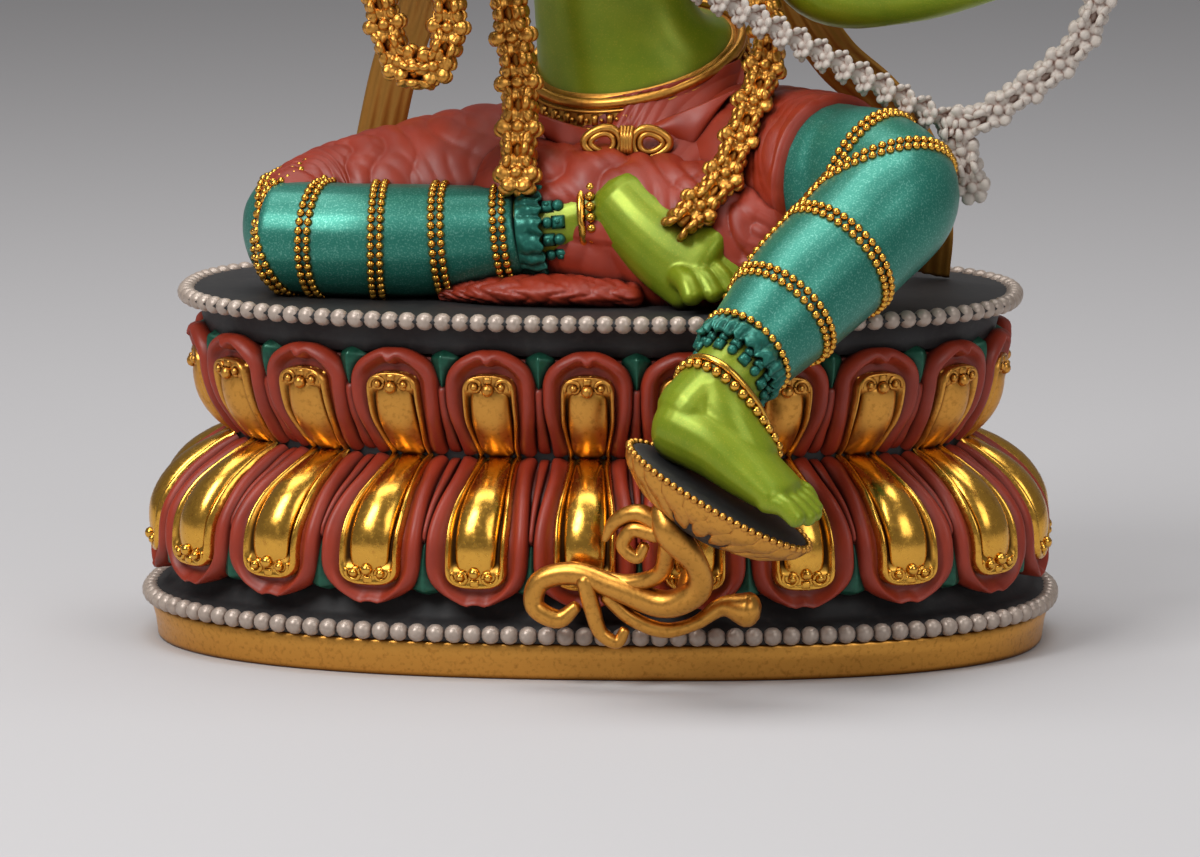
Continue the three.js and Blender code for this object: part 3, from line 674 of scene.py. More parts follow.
piece("upper_gold", upper_gold, ANTIQUE_GOLD, "antique_gold", "plinth")
green = sepals(LOWER.between(), LOWER.length - 20, LOWER.length - 2.4, 4.9, 2.6, -5.0, 0.16)
piece("lower_sepals", green, DARK_GREEN, "dark_green_paint", "plinth")
green = sepals(UPPER.between(), UPPER.length - 12, UPPER.length + 0.8, 4.9, 3.4, -4.6, 0.28)
piece("upper_sepals", green, DARK_GREEN, "dark_green_paint", "plinth")

# The figure. Stations are [x, y, z, half width, half height], as the frame has them.
RIGHT_THIGH = [
    [-6, 10, 113, 26, 26.5], [-31, 4, 111.6, 24, 26], [-52, 0, 109.6, 21.5, 23.4], [-70, -5, 107.6, 18.6, 20],
    [-79, -12, 106.6, 14.4, 16.6],
]
RIGHT_SHIN = [
    [-82.5, -18, 105.6, 14.6, 14.6], [-62, -23, 105.6, 14.6, 14.8], [-42, -23, 105.8, 14.6, 14.6],
    [-24, -24, 107.6, 12.6, 12.8], [-8, -25, 109.6, 10.2, 10.6], [0, -26, 110.8, 9, 9.2],
]
RIGHT_FOOT = [[8.6, -28.5, 116.2, 10.2, 9.4], [14.5, -33, 110.6, 10.4, 8.8], [22, -38, 105, 11, 7.2], [29, -42, 101.4, 11.8, 5.4]]
LEFT_THIGH = [[20, 12, 115, 26, 26], [40, -4, 119, 24.5, 26], [56, -18, 121, 22.5, 24], [63, -25, 121.6, 22, 23]]
LEFT_SHIN = [
    [60, -20, 121.5, 19, 19.6], [72, -33, 123.4, 18.4, 18.8], [78.3, -43, 120.8, 17, 17.4],
    [69.7, -54, 111.3, 16.6, 16.6], [57.1, -67.5, 99.6, 15.6, 15.8], [46.2, -80, 88.6, 13, 13.2],
    [40.9, -86.5, 83.3, 10.6, 11], [36.4, -92, 77.7, 9.6, 10],
]
LEFT_FOOT = [
    [28.7, -94.5, 69, 9.4, 9.6], [36.4, -97.5, 65.7, 9.6, 9], [45.4, -100.5, 59.3, 9.8, 7.4], [53.4, -103, 53.7, 10.3, 5.4],
]
LAP = [[-22, -14, 112, 14, 20], [4, -20, 108, 16, 22], [30, -26, 106, 16, 20], [46, -36, 104, 9, 15]]
SEAT_CLOTH = [[-38, -30, 93, 2, 1.6], [-24, -32, 94, 8, 3.4], [-6, -33, 94.4, 10, 4], [12, -34, 94, 8, 3.4]]
# Rings: [height, middle x, middle y, half width, half depth, slope along x, slope along y].
HIPS = [
    [88, 8, 14, 30, 24, 0, 0], [97, 8, 14, 36, 27, 0, 0], [112, 8, 13, 36, 26, 0, 0.1], [126, 9, 10, 32, 24, 0.08, 0.3],
    [142.5, 9, 9, 28.8, 21.8, 0.16, 0.5],
]
TRUNK = [
    [138, 9, 9, 25, 19, 0.16, 0.5], [147, 8.8, 8.4, 26, 19.4, 0.17, 0.5], [153.5, 8.2, 7.6, 25.2, 18.4, 0.16, 0.45],
    [161, 4.6, 5.6, 22, 15.2, 0.04, 0.12], [168, 2.8, 4.4, 20.8, 14, 0, 0], [180, 1, 4, 23, 14.8, 0, 0],
    [198, -1, 3.6, 28, 16.6, 0, 0], [211, -2, 4.4, 30, 15, 0, 0], [219, -2, 5, 25, 12, 0, 0],
    [225, -2.5, 5.3, 11.5, 10, 0, 0], [237, -3.4, 3.6, 9, 9, 0, 0],
]
FACE = [
    [234, -3.4, -5, 5.6, 6.6, 0, 0], [238, -3.4, -3.4, 10, 12, 0, 0], [246, -3.4, -0.8, 14, 16.8, 0, 0],
    [253, -3.4, 0.6, 15.2, 18, 0, 0], [260, -3.4, 1.4, 15, 17.4, 0, 0], [268, -3.4, 3, 12, 14, 0, 0],
]
HAIR = [
    [252, -3.4, 5, 16, 15, 0, 0], [257, -3.4, 3.2, 16.8, 17.4, 0, 0], [265, -3.4, 3, 16.6, 17.6, 0, 0],
    [272, -3.4, 4, 11, 12, 0, 0], [276, -3.4, 6, 8.5, 8.5, 0, 0], [281, -3.4, 6.5, 9.8, 9.8, 0, 0],
    [289, -3.4, 7, 8.6, 8.6, 0, 0], [295, -3.4, 7, 4, 4, 0, 0],
]


def stacked(rings, sides=64, steps=6, relief=None):
    """Oval rings stacked from the lowest to the highest and closed at both ends."""
    x, y, z, wide, deep, along_x, along_y = curve(np.array(rings, float)[:, [1, 2, 0, 3, 4, 5, 6]], steps).T[:, :, None]
    a = np.arange(sides) / sides * 2 * np.pi
    grow = 0 if relief is None else relief(np.linspace(0, 1, len(x))[:, None], a[None])
    dx, dy = np.cos(a) * (wide + grow), np.sin(a) * (deep + grow)
    ring = np.stack([x + dx, y + dy, z + along_x * dx + along_y * dy], -1)
    ends = [np.repeat(ring[k].mean(0)[None, None], sides, 1) for k in (0, -1)]
    return grid(np.concatenate([ends[0], ring, ends[1]]), round_v=True)


PALM, GRIP_OFF, WRIST = 15, 5.4, 4.8
HANDS = {
    "bow": dict(grip=[131, -27, 180], along=[0.98, -0.1, 0.12], thumb=[0.1, 0, 1], palm=[0, -1, 0]),
    "draw": dict(grip=[-8, -33, 192], along=[0.99, -0.1, -0.08], thumb=[0.08, 0, 1], palm=[0, 1, 0]),
    "hook": dict(grip=[-36, -47, 182], along=[0.66, -0.75, -0.1], thumb=[0.1, 0, 1], palm=[0.75, 0.66, 0]),
    "noose": dict(grip=[86, -6, 232], along=[0.3, -0.3, 0.9], thumb=[-0.9, -0.3, 0.2], palm=[0.3, -0.9, -0.4]),
}
ARMS = {
    "bow": [[31, 3, 214, 10, 10], [43, 0, 197, 8.6, 8.6], [57, -6, 171.5, 9.4, 9.8], [80, -12, 170.5, 8.6, 9]],
    "draw": [[-35, 3, 214, 10, 10], [-57, -5, 210, 8.8, 8.8], [-78, -14, 201, 8.8, 9], [-54, -27, 198, 7.8, 8]],
    "hook": [[-33, 9, 212, 9.4, 9.4], [-50, 10, 199, 8.2, 8.2], [-62, 5, 186.5, 8.2, 8.4], [-55, -16, 183, 7.2, 7.4]],
    "noose": [[30, 9, 212, 9.4, 9.4], [48, 14, 201, 8.2, 8.2], [66, 16, 194, 8, 8], [76, 10, 206, 7, 7]],
}


def wrist(pose):
    """Where the hand's wrist lies, from what it grips."""
    along, palm = (unit(np.array(pose[k], float)) for k in ("along", "palm"))
    return np.array(pose["grip"]) - along * PALM - palm * GRIP_OFF


def hand(pose):
    """A palm, four fingers curled round the grip and a thumb across them. A point is
    (reach, across, drop) from the wrist."""
    start = wrist(pose)
    axes = unit(np.array([pose["along"], pose["thumb"], pose["palm"]], float))

    def digit(points, radii):
        line = start + np.array(points, float) @ axes
        return limb(np.column_stack([line, radii, radii]), sides=12, steps=6, up=axes[1])

    palm = start + np.array([[-3, 0, 0], [4, 0, 0.2], [10, 0, 0], [14, 0, 0.4]]) @ axes
    shapes = [limb(np.column_stack([palm, [4.6, 6, 7, 6.6], [4, 3.8, 3.2, 2.6]]), up=axes[2])]
    for k in range(4):
        y = (k - 1.5) * 3.5
        reach = 0.6 * (1 - abs(k - 1.6) / 2)
        bend = [[12, y, 0.4], [18.6 + reach, y, 1.6], [20.4 + reach, y, 5.6], [18.6 + reach, y, 9.4], [14.6, y, 9.6]]
        shapes.append(digit(bend, [2.1, 1.95, 1.85, 1.7, 1.4]))
    shapes.append(digit([[2, 4, 1], [8, 7.6, 3.4], [13, 6.4, 8.6], [15.4, 3, 11.6]], [2.6, 2.3, 1.9, 1.5]))
    return join(*shapes)


skin_parts = [stacked(TRUNK), stacked(FACE, steps=8), stamp(ball(10, 32, 20), [[-13, -8, 203], [9, -8, 203]])]
for name, pose in HANDS.items():
    skin_parts += [limb([*ARMS[name], [*wrist(pose), WRIST, WRIST]], up=(0, 1, 0.2)), hand(pose)]
NOSE = [[-3.4, -16.4, 252, 1.3, 1.2], [-3.4, -18.2, 247.6, 1.6, 1.6], [-3.4, -18.4, 245.6, 2.2, 1.5]]
skin_parts.append(limb(NOSE, up=(0, -1, 0)))
piece("skin", fused("skin", join(*skin_parts), 0.9), GREEN, "green_paint", "figure")

TOE_LENGTHS = 5


def toe_row(root, across, tips, size):
    """Five toes, the big one first, each a short limb with a rounded tip."""
    shapes = []
    for k, tip in enumerate(np.array(tips, float)):
        start = np.array(root) + np.array(across) * k
        wide = size * (1 - 0.1 * k)
        middle = start * 0.45 + tip * 0.55 + [0, 0, 1.2]
        line = [[*start, wide, wide], [*middle, wide * 0.9, wide * 0.85], [*tip, wide * 0.86, wide * 0.78]]
        shapes.append(limb(line, sides=14, steps=5))
    return shapes


RIGHT_TOES = (
    [24.5, -45.5, 99.8], [3, 1.7, 1.5],
    [[27.8, -51.6, 95.6], [33.2, -49.6, 96], [37.2, -46.6, 97], [40.4, -42.8, 98.6], [42.6, -38.8, 100.6]], 3.5,
)
LEFT_TOES = ([50.4, -109.5, 52.9], [1.8, 3.2, 0.4], [[58.1, -112.1, 48.8], [60.9, -108.7, 48.4], [62.3, -105.3, 48.8], [62.5, -101.9, 49.9], [61.5, -98.7, 51.3]], 3.2)
right_foot = join(
    limb(RIGHT_FOOT, up=(0.3, 0.85, -0.35)),
    limb([[-24, -24.5, 108.4, 9.8, 9.8], [-8, -25, 110.2, 9.8, 9.8], [6, -26, 114, 9.8, 10.2]]),
    *toe_row(*RIGHT_TOES),
)
left_foot = join(
    limb(LEFT_FOOT),
    limb([[44, -83, 86, 10, 10], [38, -90, 79, 9.6, 9.8], [31, -94, 71.5, 9.8, 9.9]]),
    limb([[36.6, -91.6, 77, 9.6, 9.8], [39.6, -95.4, 69.6, 9.2, 9.4], [45.6, -98.8, 62, 8.6, 7]]),
    *toe_row(*LEFT_TOES),
)
piece("right_foot", fused("right_foot", right_foot, 0.5), GREEN, "green_paint", "figure")
piece("left_foot", fused("left_foot", left_foot, 0.5), GREEN, "green_paint", "figure")

right_legging = join(
    limb(RIGHT_SHIN[:4] + [[-18.5, -24.4, 108.6, 12.2, 12.3]], cap=0.1),
    limb([[-56, -2, 109, 19, 20], [-70, -5, 107.6, 17.4, 18.6], [-80, -12, 106.6, 14.6, 15.6]]),
)
left_legging = join(
    limb(LEFT_SHIN[:5] + [[46.2, -80, 88.6, 13, 13.2], [43.6, -83, 86, 12.2, 12.4]], cap=0.1),
    limb([[56, -18, 121, 20.5, 22], [66, -27, 122, 19.6, 20.4]]),
)
LEGS = {
    "right_legging": fused("right_legging", right_legging, 0.8, 10),
    "left_legging": fused("left_legging", left_legging, 0.8, 10),
}
for name, mesh in LEGS.items():
    piece(name, mesh, TEAL, "teal_paint", "figure")


def surface(mesh):
    """A search tree over a mesh, in millimetres."""
    points = np.empty(len(mesh.vertices) * 3, np.float32)
    mesh.vertices.foreach_get("co", points)
    return BVHTree.FromPolygons((points.reshape(-1, 3) / MM).tolist(), [tuple(f.vertices) for f in mesh.polygons])


def girdle(tree, centre, normal, gap, lift=0.0, slide=0.0):
    """Evenly spaced points round a limb where a plane meets it, found from inside, with
    each point's outward direction."""
    normal = unit(np.array(normal, float))
    side = unit(np.cross(normal, [0.3, 0.2, 1.0]))
    other = np.cross(normal, side)
    start = np.array(centre, float) + normal * slide
    a = np.linspace(0, 2 * np.pi, 181)
    ways = np.cos(a)[:, None] * side + np.sin(a)[:, None] * other
    hits = [tree.ray_cast(Vector(start), Vector(w)) for w in ways]
    line = np.array([h[0] if h[0] is not None else start for h in hits])
    spots = evenly(line, gap)[:-1]
    out = unit(spots - start)
    return spots + out * lift, out


BEAD = ball(1.12, 8, 5)


def bead_band(tree, centre, normal, rows=(-1.2, 1.2), gap=2.35, size=1.0):
    """Rows of beads round a limb."""
    shapes = []
    for slide in rows:
        spots, _ = girdle(tree, centre, normal, gap * size, 0.25, slide)
        shapes.append(stamp(BEAD, spots, sizes=size))
    return shapes


right_tree, left_tree = surface(LEGS["right_legging"]), surface(LEGS["left_legging"])
right_line, left_line = curve(RIGHT_SHIN, 20), curve(LEFT_SHIN, 20)


def nearest_on(line, value, axis):
    """The place and heading on a line where one coordinate has a value."""
    k = int(np.abs(line[:, axis] - value).argmin())
    k = min(max(k, 1), len(line) - 2)
    return line[k, :3], line[k + 1, :3] - line[k - 1, :3]


bands = []
for x in (-70.5, -55, -38, -22.3):
    bands += bead_band(right_tree, *nearest_on(right_line, x, 0))
bands += bead_band(right_tree, (-82, -17, 106), (1, -0.35, 0.35))
bands += bead_band(right_tree, (-78, -10, 106.8), (0.9, -0.75, -0.2))
for z in (106.5, 94.5, 85.6):
    bands += bead_band(left_tree, *nearest_on(left_line, z, 2))
bands += bead_band(left_tree, (74, -38, 121.6), (0.35, -0.55, -0.75))
bands += bead_band(left_tree, (72, -33, 122.4), (0.75, -0.5, -0.3))
piece("legging_bands", join(*bands), BRIGHT_GOLD, "bright_gold", "figure")


def wrinkles(size, deep, seed, slant=0.0, length=1.0):
    """Carved cloth: ridges across the limb whose lines are bent by slow waves, with sharp
    valleys between rounded folds."""
    phase = np.random.default_rng(seed).uniform(0, 2 * np.pi, 8)

    def relief(s, a):
        bend = 0.9 * np.sin(2 * a + 5 * s + phase[0]) + 0.6 * np.sin(3 * a - 9 * s + phase[1])
        bend = bend + 0.35 * np.sin(7 * a + 13 * s + phase[2])
        wave = np.abs(np.sin(length * size * s + slant * a + bend * 1.6 + phase[3]))
        small = np.abs(np.sin(2.1 * size * s * length + 4 * a - 2.3 * bend + phase[4]))
        return deep * (wave ** 0.6 - 0.5) + 0.35 * deep * (small ** 0.7 - 0.5)

    return relief


right_thigh = limb(RIGHT_THIGH, sides=200, steps=36, relief=wrinkles(22, 0.9, 3, 0.6))
piece("right_thigh_cloth", right_thigh, RED, "red_paint", "figure")
left_thigh = limb(LEFT_THIGH, sides=160, steps=36, cap=0.1, relief=wrinkles(10, 0.5, 5, 0.4))
piece("left_thigh_cloth", left_thigh, RED, "red_paint", "figure")
lap = limb(LAP, sides=160, steps=40, relief=wrinkles(16, 1.3, 11, 1.4))
piece("lap_cloth", lap, RED, "red_paint", "figure")
piece("hip_cloth", stacked(HIPS, 160, 30, wrinkles(6, 0.8, 9, 3.0)), RED, "red_paint", "figure")
piece("seat_cloth", limb(SEAT_CLOTH, sides=64, steps=40, relief=wrinkles(24, 0.8, 4, 1.0)), RED, "red_paint", "figure")


def flower(petals=6, around=36, cup=0.12):
    """A flower one across from middle to petal tip: the rim is a wave of petals, grooved
    between and along them, round a raised button."""
    a = np.arange(around) / around * 2 * np.pi
    lobe = np.abs(np.cos(petals * a / 2))
    r = np.array([0, 0.16, 0.27, 0.31, 0.5, 0.75, 0.93, 1.0, 0.9, 0.0])
    z = np.array([0.42, 0.4, 0.28, 0.1, 0.24, 0.3, 0.22, 0.06, -0.12, -0.16])
    rim = 0.76 + 0.24 * lobe ** 0.5
    share = step(0.3, 0.75, r)[:, None]
    radius = r[:, None] * (1 - share + share * rim[None])
    groove = step(0.3, 0.5, r)[:, None] * (1 - lobe ** 0.7)[None]
    high = z[:, None] + cup * r[:, None] ** 2 - 0.2 * groove * (z > 0)[:, None]
    points = np.stack([radius * np.cos(a), radius * np.sin(a), high * np.ones_like(radius)], -1)
    return grid(points, round_v=True)


def garland(points, radius, gap, rows, up=(0, 1, 0), tilt=0.0, stem=0.42):
    """Flowers strung along a line: each row is the angle round the line that its flowers
    face, in degrees, and rows take turns to start half a step on. Tilt leans them along it."""
    line = evenly(curve(np.array(points, float), 12), gap / 2)
    axes = headings(line, up)
    shapes = [tube(line, radius * stem, sides=10)]
    for k, row in enumerate(rows):
        some = slice(k % 2, None, 2)
        a = np.radians(row)
        side, lift, along = (axes[some, i] for i in range(3))
        out = unit(np.cos(a) * side + np.sin(a) * lift + tilt * along)
        across = unit(np.cross(along, out))
        frames = np.stack([across, np.cross(out, across), out], 1)
        shapes.append(stamp(flower(), line[some] + out * radius * stem * 0.9, frames, radius))
    return join(*shapes)


GARLANDS = [
    [[-14, 0, 222], [-24, -13, 208], [-24, -19, 190], [-22, -22, 169], [-19, -24, 147], [-18.6, -32, 124]],
    [[10, 0, 222], [26, -10, 206], [33, -14, 190], [42, -16, 170], [45, -17, 158], [40, -28, 138], [33, -38, 122], [25, -43, 114]],
]
for k, points in enumerate(GARLANDS):
    shape = garland(points, (5.7, 5.2)[k], (11.8, 10.6)[k], rows=(270, 350, 60, 190, 120))
    piece(("right_garland", "left_garland")[k], shape, ANTIQUE_GOLD, "antique_gold", "figure")

BOW_GRIP, STRING_HAND = np.array([131, -27, 180.0]), np.array([-8, -33, 192.0])
BOW_LOWER = np.array([
    [97.8, -27, 121.6], [96, -27, 129], [92.5, -27, 137], [100, -27, 139], [108.1, -27, 144.5], [116.5, -27, 150.4],
    [125.3, -27, 159.5], [129.6, -27, 169.5],
])


def mirrored(p):
    """A point of the bow turned over about the arrow's line."""
    along = unit((BOW_GRIP - STRING_HAND) * (1, 0, 1))
    away = (p - BOW_GRIP) * (1, 0, 1)
    on = (away @ along)[..., None] * along
    return (BOW_GRIP + 2 * on - away) * (1, 0, 1) + p * (0, 1, 0)


bow_limbs = np.concatenate([BOW_LOWER, [BOW_GRIP], mirrored(BOW_LOWER)[::-1]])
string = np.array([BOW_LOWER[2], STRING_HAND, mirrored(BOW_LOWER[2])])
halves = [np.array([a, (a + b) / 2, b]) for a, b in zip(string[:-1], string[1:])]
bow = join(
    garland(bow_limbs, 4.7, 9.8, rows=(270, 350, 90, 190)),
    *[garland(half, 3.6, 6.0, rows=(30, 150, 270), tilt=0.9, stem=0.5) for half in halves],
)
piece("white_flower_bow", bow, WHITE, "white_paint", "flower_bow")
ARROW = [[-14, -40.6, 195], [60, -37.4, 188.6], [146, -33.6, 181.2]]
BUD = [[140, -33.9, 181.7, 1, 1], [147, -33.5, 181.1, 2.3, 2.3], [156, -33, 180.3, 0.6, 0.6]]
arrow = join(tube(curve(ARROW, 10), 1.1, sides=10), limb(BUD, sides=16))
piece("bud_arrow", arrow, BRIGHT_GOLD, "bright_gold", "flower_arrow")
HOOK = [
    [-34, -47, 206], [-36, -47, 182], [-34.6, -47.5, 168], [-36, -48, 157], [-42, -48, 151.5], [-49, -46, 157], [-52, -45, 168],
    [-56, -45, 179],
]
piece("gold_flower_hook", garland(HOOK, 5.2, 10.4, rows=(270, 350, 60, 190, 120)), ANTIQUE_GOLD, "antique_gold", "flower_hook")
turn = np.linspace(0, 2 * np.pi, 33)
ring = np.stack([103 + 17 * np.cos(turn), -6 + 0 * turn, 232 + 17 * np.sin(turn)], -1)
piece("gold_flower_noose", garland(ring[:-1], 4.4, 9, rows=(270, 350, 90, 190)), ANTIQUE_GOLD, "antique_gold", "flower_noose")

SCARVES = {
    "scarf_right": [[-46, 14.6, 176], [-51, 20, 160], [-55.5, 21, 147], [-59, 23, 133], [-63, 27, 112], [-63, 31, 92.6]],
    "scarf_left": [[47, 24, 186], [50, 21, 166], [60, 19, 150], [73, 19, 138], [83, 19, 121], [85, 21, 105], [84, 25, 92.6]],
}
for name, points in SCARVES.items():
    line = curve(np.array(points, float), 14)
    a = np.arange(32) / 32 * 2 * np.pi
    shape = tube(line, 6.6, 1.0, 48, up=(0.3, 1, 0), cap=0.1, relief=lambda s, a: 0.35 * np.cos(a * 12) * np.abs(np.sin(a)))
    piece(name + "_silk", shape, BROWN_GOLD, "brown_gold", name)

def on_ring(z, cx, cy, wide, deep, along_x, along_y, a):
    """Points of one of the body's slanted oval rings at angles a."""
    x, y = np.cos(a) * wide, np.sin(a) * deep
    return np.stack([cx + x, cy + y, z + along_x * x + along_y * y], -1)


# The belt: a smooth gold roll, a row of small plates and a string of beads, on a gold band.
BELT = dict(cx=8.7, cy=8.4, along_x=0.165, along_y=0.5)
whole_turn = np.linspace(0, 2 * np.pi, 361)


def belt_line(z, wide, deep):
    return on_ring(z, BELT["cx"], BELT["cy"], wide, deep, BELT["along_x"], BELT["along_y"], whole_turn)


def outward(line):
    """Frames along a closed level line: forward, up and outward."""
    along = unit(np.roll(line, -1, 0) - np.roll(line, 1, 0))
    up = unit(np.array([0, 0, 1]) - along * along[:, 2:])
    return np.stack([along, up, np.cross(along, up)], 1)


belt_band = [
    [141.6, 8.7, 8.8, 27.6, 20.8, 0.165, 0.5], [143.2, 8.7, 8.6, 29.6, 22.4, 0.165, 0.5], [147.4, 8.7, 8.4, 28.8, 21.8, 0.165, 0.5],
    [151, 8.6, 8.2, 27.6, 20.8, 0.168, 0.5], [152.6, 8.4, 7.9, 25.4, 18.8, 0.165, 0.48],
]
upper_roll = belt_line(151.6, 27.6, 20.9)[:-1]
plate_spots = evenly(belt_line(148.0, 29, 21.9), 4.0)[:-1]
bead_spots = evenly(belt_line(144.4, 30, 22.8), 1.95)[:-1]
s = np.linspace(-1, 1, 6)
x, y = np.meshgrid(s, s, indexing="ij")
puff = (1 - np.abs(x) ** 5) * (1 - np.abs(y) ** 5)
plate = join(*(grid(np.stack([x, y, way * puff * 0.9], -1)) for way in (1, -1)))
small_plate = (plate[0] * (0.95, 1.5, 1.0), plate[1], plate[2])
belt = join(
    stacked(belt_band, 120, 5),
    tube(upper_roll, 1.35, 1.5, 12, closed=True),
    tube(belt_line(149.9, 28.6, 21.5)[:-1], 0.45, sides=8, closed=True),
    tube(belt_line(146.0, 29.6, 22.4)[:-1], 0.45, sides=8, closed=True),
    stamp(small_plate, plate_spots, outward(plate_spots)),
    stamp(ball(0.62, 8, 5), plate_spots + outward(plate_spots)[:, 0] * 2.0 + outward(plate_spots)[:, 2] * 0.7),
    stamp(ball(1.0, 8, 5), bead_spots),
)
piece("belt", belt, ANTIQUE_GOLD, "antique_gold", "figure")


def ribbon_loop(centre, wide, high, thick, depth, turn=0.0):
    """One loop of a tied bow: a flat oval ring of ribbon with a groove along it."""
    a = np.linspace(0, 2 * np.pi, 49)[:-1]
    pinch = 1 - 0.25 * np.cos(a - turn)
    shapes = []
    for share, size, push in ((1.0, thick, 0), (0.62, thick * 0.72, -0.5)):
        line = np.stack([wide * share * np.cos(a), np.full_like(a, push) - depth * np.sin(a / 2), high * share * pinch * np.sin(a)], -1)
        shapes.append(tube(line + centre, size, size * 1.1, 10, up=(0, 1, 0), closed=True))
    return shapes


KNOT = np.array([8.8, -22.5, 131.6])
knot_parts = []
for way in (-1, 1):
    loop = ribbon_loop(KNOT + (way * 6.3, 0.2, 0), 4.7, 3.6, 1.15, 0.6, 0 if way > 0 else np.pi)
    knot_parts += loop
for dx in (-1.35, -0.45, 0.45, 1.35):
    line = [[dx, 0, 3.9], [dx * 0.86, -1.7, 2.2], [dx * 0.8, -2.1, 0], [dx * 0.86, -1.7, -2.2], [dx * 1.1, 0, -3.9]]
    knot_parts.append(limb([[*(KNOT + p), 0.62, 0.62] for p in np.array(line)], sides=10, up=(1, 0, 0)))
for dx in (-2.4, -0.8, 0.8, 2.4):
    line = [[dx * 0.4, 0, -3.4], [dx * 1.1, -1.6, -6.2], [dx * 1.7, -1.4, -9.6]]
    knot_parts.append(limb([[*(KNOT + p), 0.9, 0.8] for p in np.array(line)], sides=10, up=(0, 1, 0)))
piece("belt_knot", join(*knot_parts), ANTIQUE_GOLD, "antique_gold", "figure")

# The front of the skirt between belt and lap, carved in swags, and its two hanging corners.
def apron():
    u, v = np.meshgrid(np.linspace(-1, 1, 150), np.linspace(0, 1, 130), indexing="ij")
    x = 8 + 33 * u * (0.86 + 0.3 * v) + 4 * v
    z = 143 + 6 * u + 2 * u * u - (43 - 4 * u) * v
    y = -11.6 - 22 * step(0, 0.75, v) + 8 * v * v + (15 - 6 * v) * u * u - 3 * u
    swag = np.sin(13 * (v - 0.42 * (1 - (np.abs(u) - 0.42) ** 2 * 3.2)) + 1.2 * np.sin(4 * u))
    fine = np.sin(31 * (v - 0.3 * np.cos(3.2 * u + 0.6)) + 2.2 * np.sin(6 * u + 2 * v))
    lift = 1.1 * np.abs(swag) ** 0.65 + 0.42 * np.abs(fine) ** 0.7
    front = np.stack([x, y - lift, z], -1)
    back = np.stack([x, y + 5, z], -1)
    return grid(np.concatenate([front, back[:, ::-1]], 1), round_v=True)


piece("skirt_front", apron(), RED, "red_paint", "figure")


def swag_corner(top, drop, wide, hang, lean):
    """A corner of cloth that hangs under the belt: its lower edge curls in a soft S."""
    u, v = np.meshgrid(np.linspace(-1, 1, 44), np.linspace(0, 1, 24), indexing="ij")
    x = top[0] + wide * u + lean * v
    z = top[2] + drop * u - hang * v * (1 - u * u * 0.8) * (1 + 0.25 * np.sin(2.4 * u + 0.5))
    y = top[1] - 1.8 * np.sin(np.pi * v * 0.9) - 1.2 * np.sin(5 * u) * v + 3.5 * u * u
    front, back = np.stack([x, y, z], -1), np.stack([x, y + 1.6, z], -1)
    return grid(np.concatenate([front, back[:, ::-1]], 1), round_v=True)


corners = join(
    swag_corner((-10, -16, 136.4), -3.0, 9.5, 9.5, 2), swag_corner((26, -18.4, 140.5), 4.6, 11, 9.5, -3),
    swag_corner((33, -18, 138), 5.0, 8, 7, -2),
)
piece("skirt_corners", corners, RED, "red_paint", "figure")


def hem_ring(tree, centre, normal, rows):
    """Rolls and bead rows round a thigh's hem. A row is (slide, kind, size)."""
    shapes = []
    for slide, kind, size in rows:
        spots, out = girdle(tree, centre, normal, size * 2.05 if kind == "beads" else 1.6, size * 0.3, slide)
        if kind == "beads":
            shapes.append(stamp(BEAD, spots, sizes=size / 1.12))
        else:
            shapes.append(tube(spots, size, sides=12, closed=True))
    return shapes


# Ruffles and anklets.
def ruffle(centre, normal, radius, length, flutes, deep, seed):
    """A gathered frill round an ankle: a flared sleeve whose radius waves with the flutes,
    more at its free edge, and whose flutes lean."""
    along = unit(np.array(normal, float))
    side = unit(np.cross(along, (0, 0, 1)))
    other = np.cross(side, along)
    a = np.linspace(0, 2 * np.pi, 181)[:-1]
    v = np.linspace(0, 1, 22)[:, None]
    phase = np.random.default_rng(seed).uniform(0, 2 * np.pi, 3)
    wave = np.abs(np.sin(flutes / 2 * (a + 0.16 * np.sin(3 * a + phase[0])) + 0.7 * v + phase[1])) ** 0.7
    out = radius + deep * v ** 0.6 * (wave - 0.35) + 0.5 * np.sin(np.pi * v) + 0.25 * np.sin(9 * v + 5 * a)
    far = length * v + 0.5 * np.sin(flutes * a + phase[2]) * v
    inner = out - 1.3
    rows = [(out, far), (inner[::-1], far[::-1])]
    points = [
        np.array(centre) + far_[..., None] * along + (out_[..., None] * (np.cos(a)[:, None] * side + np.sin(a)[:, None] * other))
        for out_, far_ in rows
    ]
    return grid(np.concatenate(points), round_u=True, round_v=True)


def studs(tree, centre, normal, seed, rows=(1.6, 4.4), size=1.5):
    """Small balls and square plates, each plate topped by a small ball, round an ankle, taking turns."""
    shapes = []
    for k, slide in enumerate(rows):
        spots, out = girdle(tree, centre, normal, size * 2.9, 0.3, slide)
        along = unit(np.array(normal, float))
        frames = np.stack([np.cross(out, along), np.broadcast_to(along, out.shape), out], 1)
        every = slice(k % 2, None, 2)
        shapes.append(stamp(ball(size, 12, 8), spots[every]))
        rest = slice(1 - k % 2, None, 2)
        square = (plate[0] * (size * 1.15, size * 1.15, 1.3), plate[1], plate[2])
        shapes += [stamp(square, spots[rest], frames[rest]), stamp(ball(size * 0.5, 8, 6), spots[rest] + out[rest] * 1.0)]
    return shapes


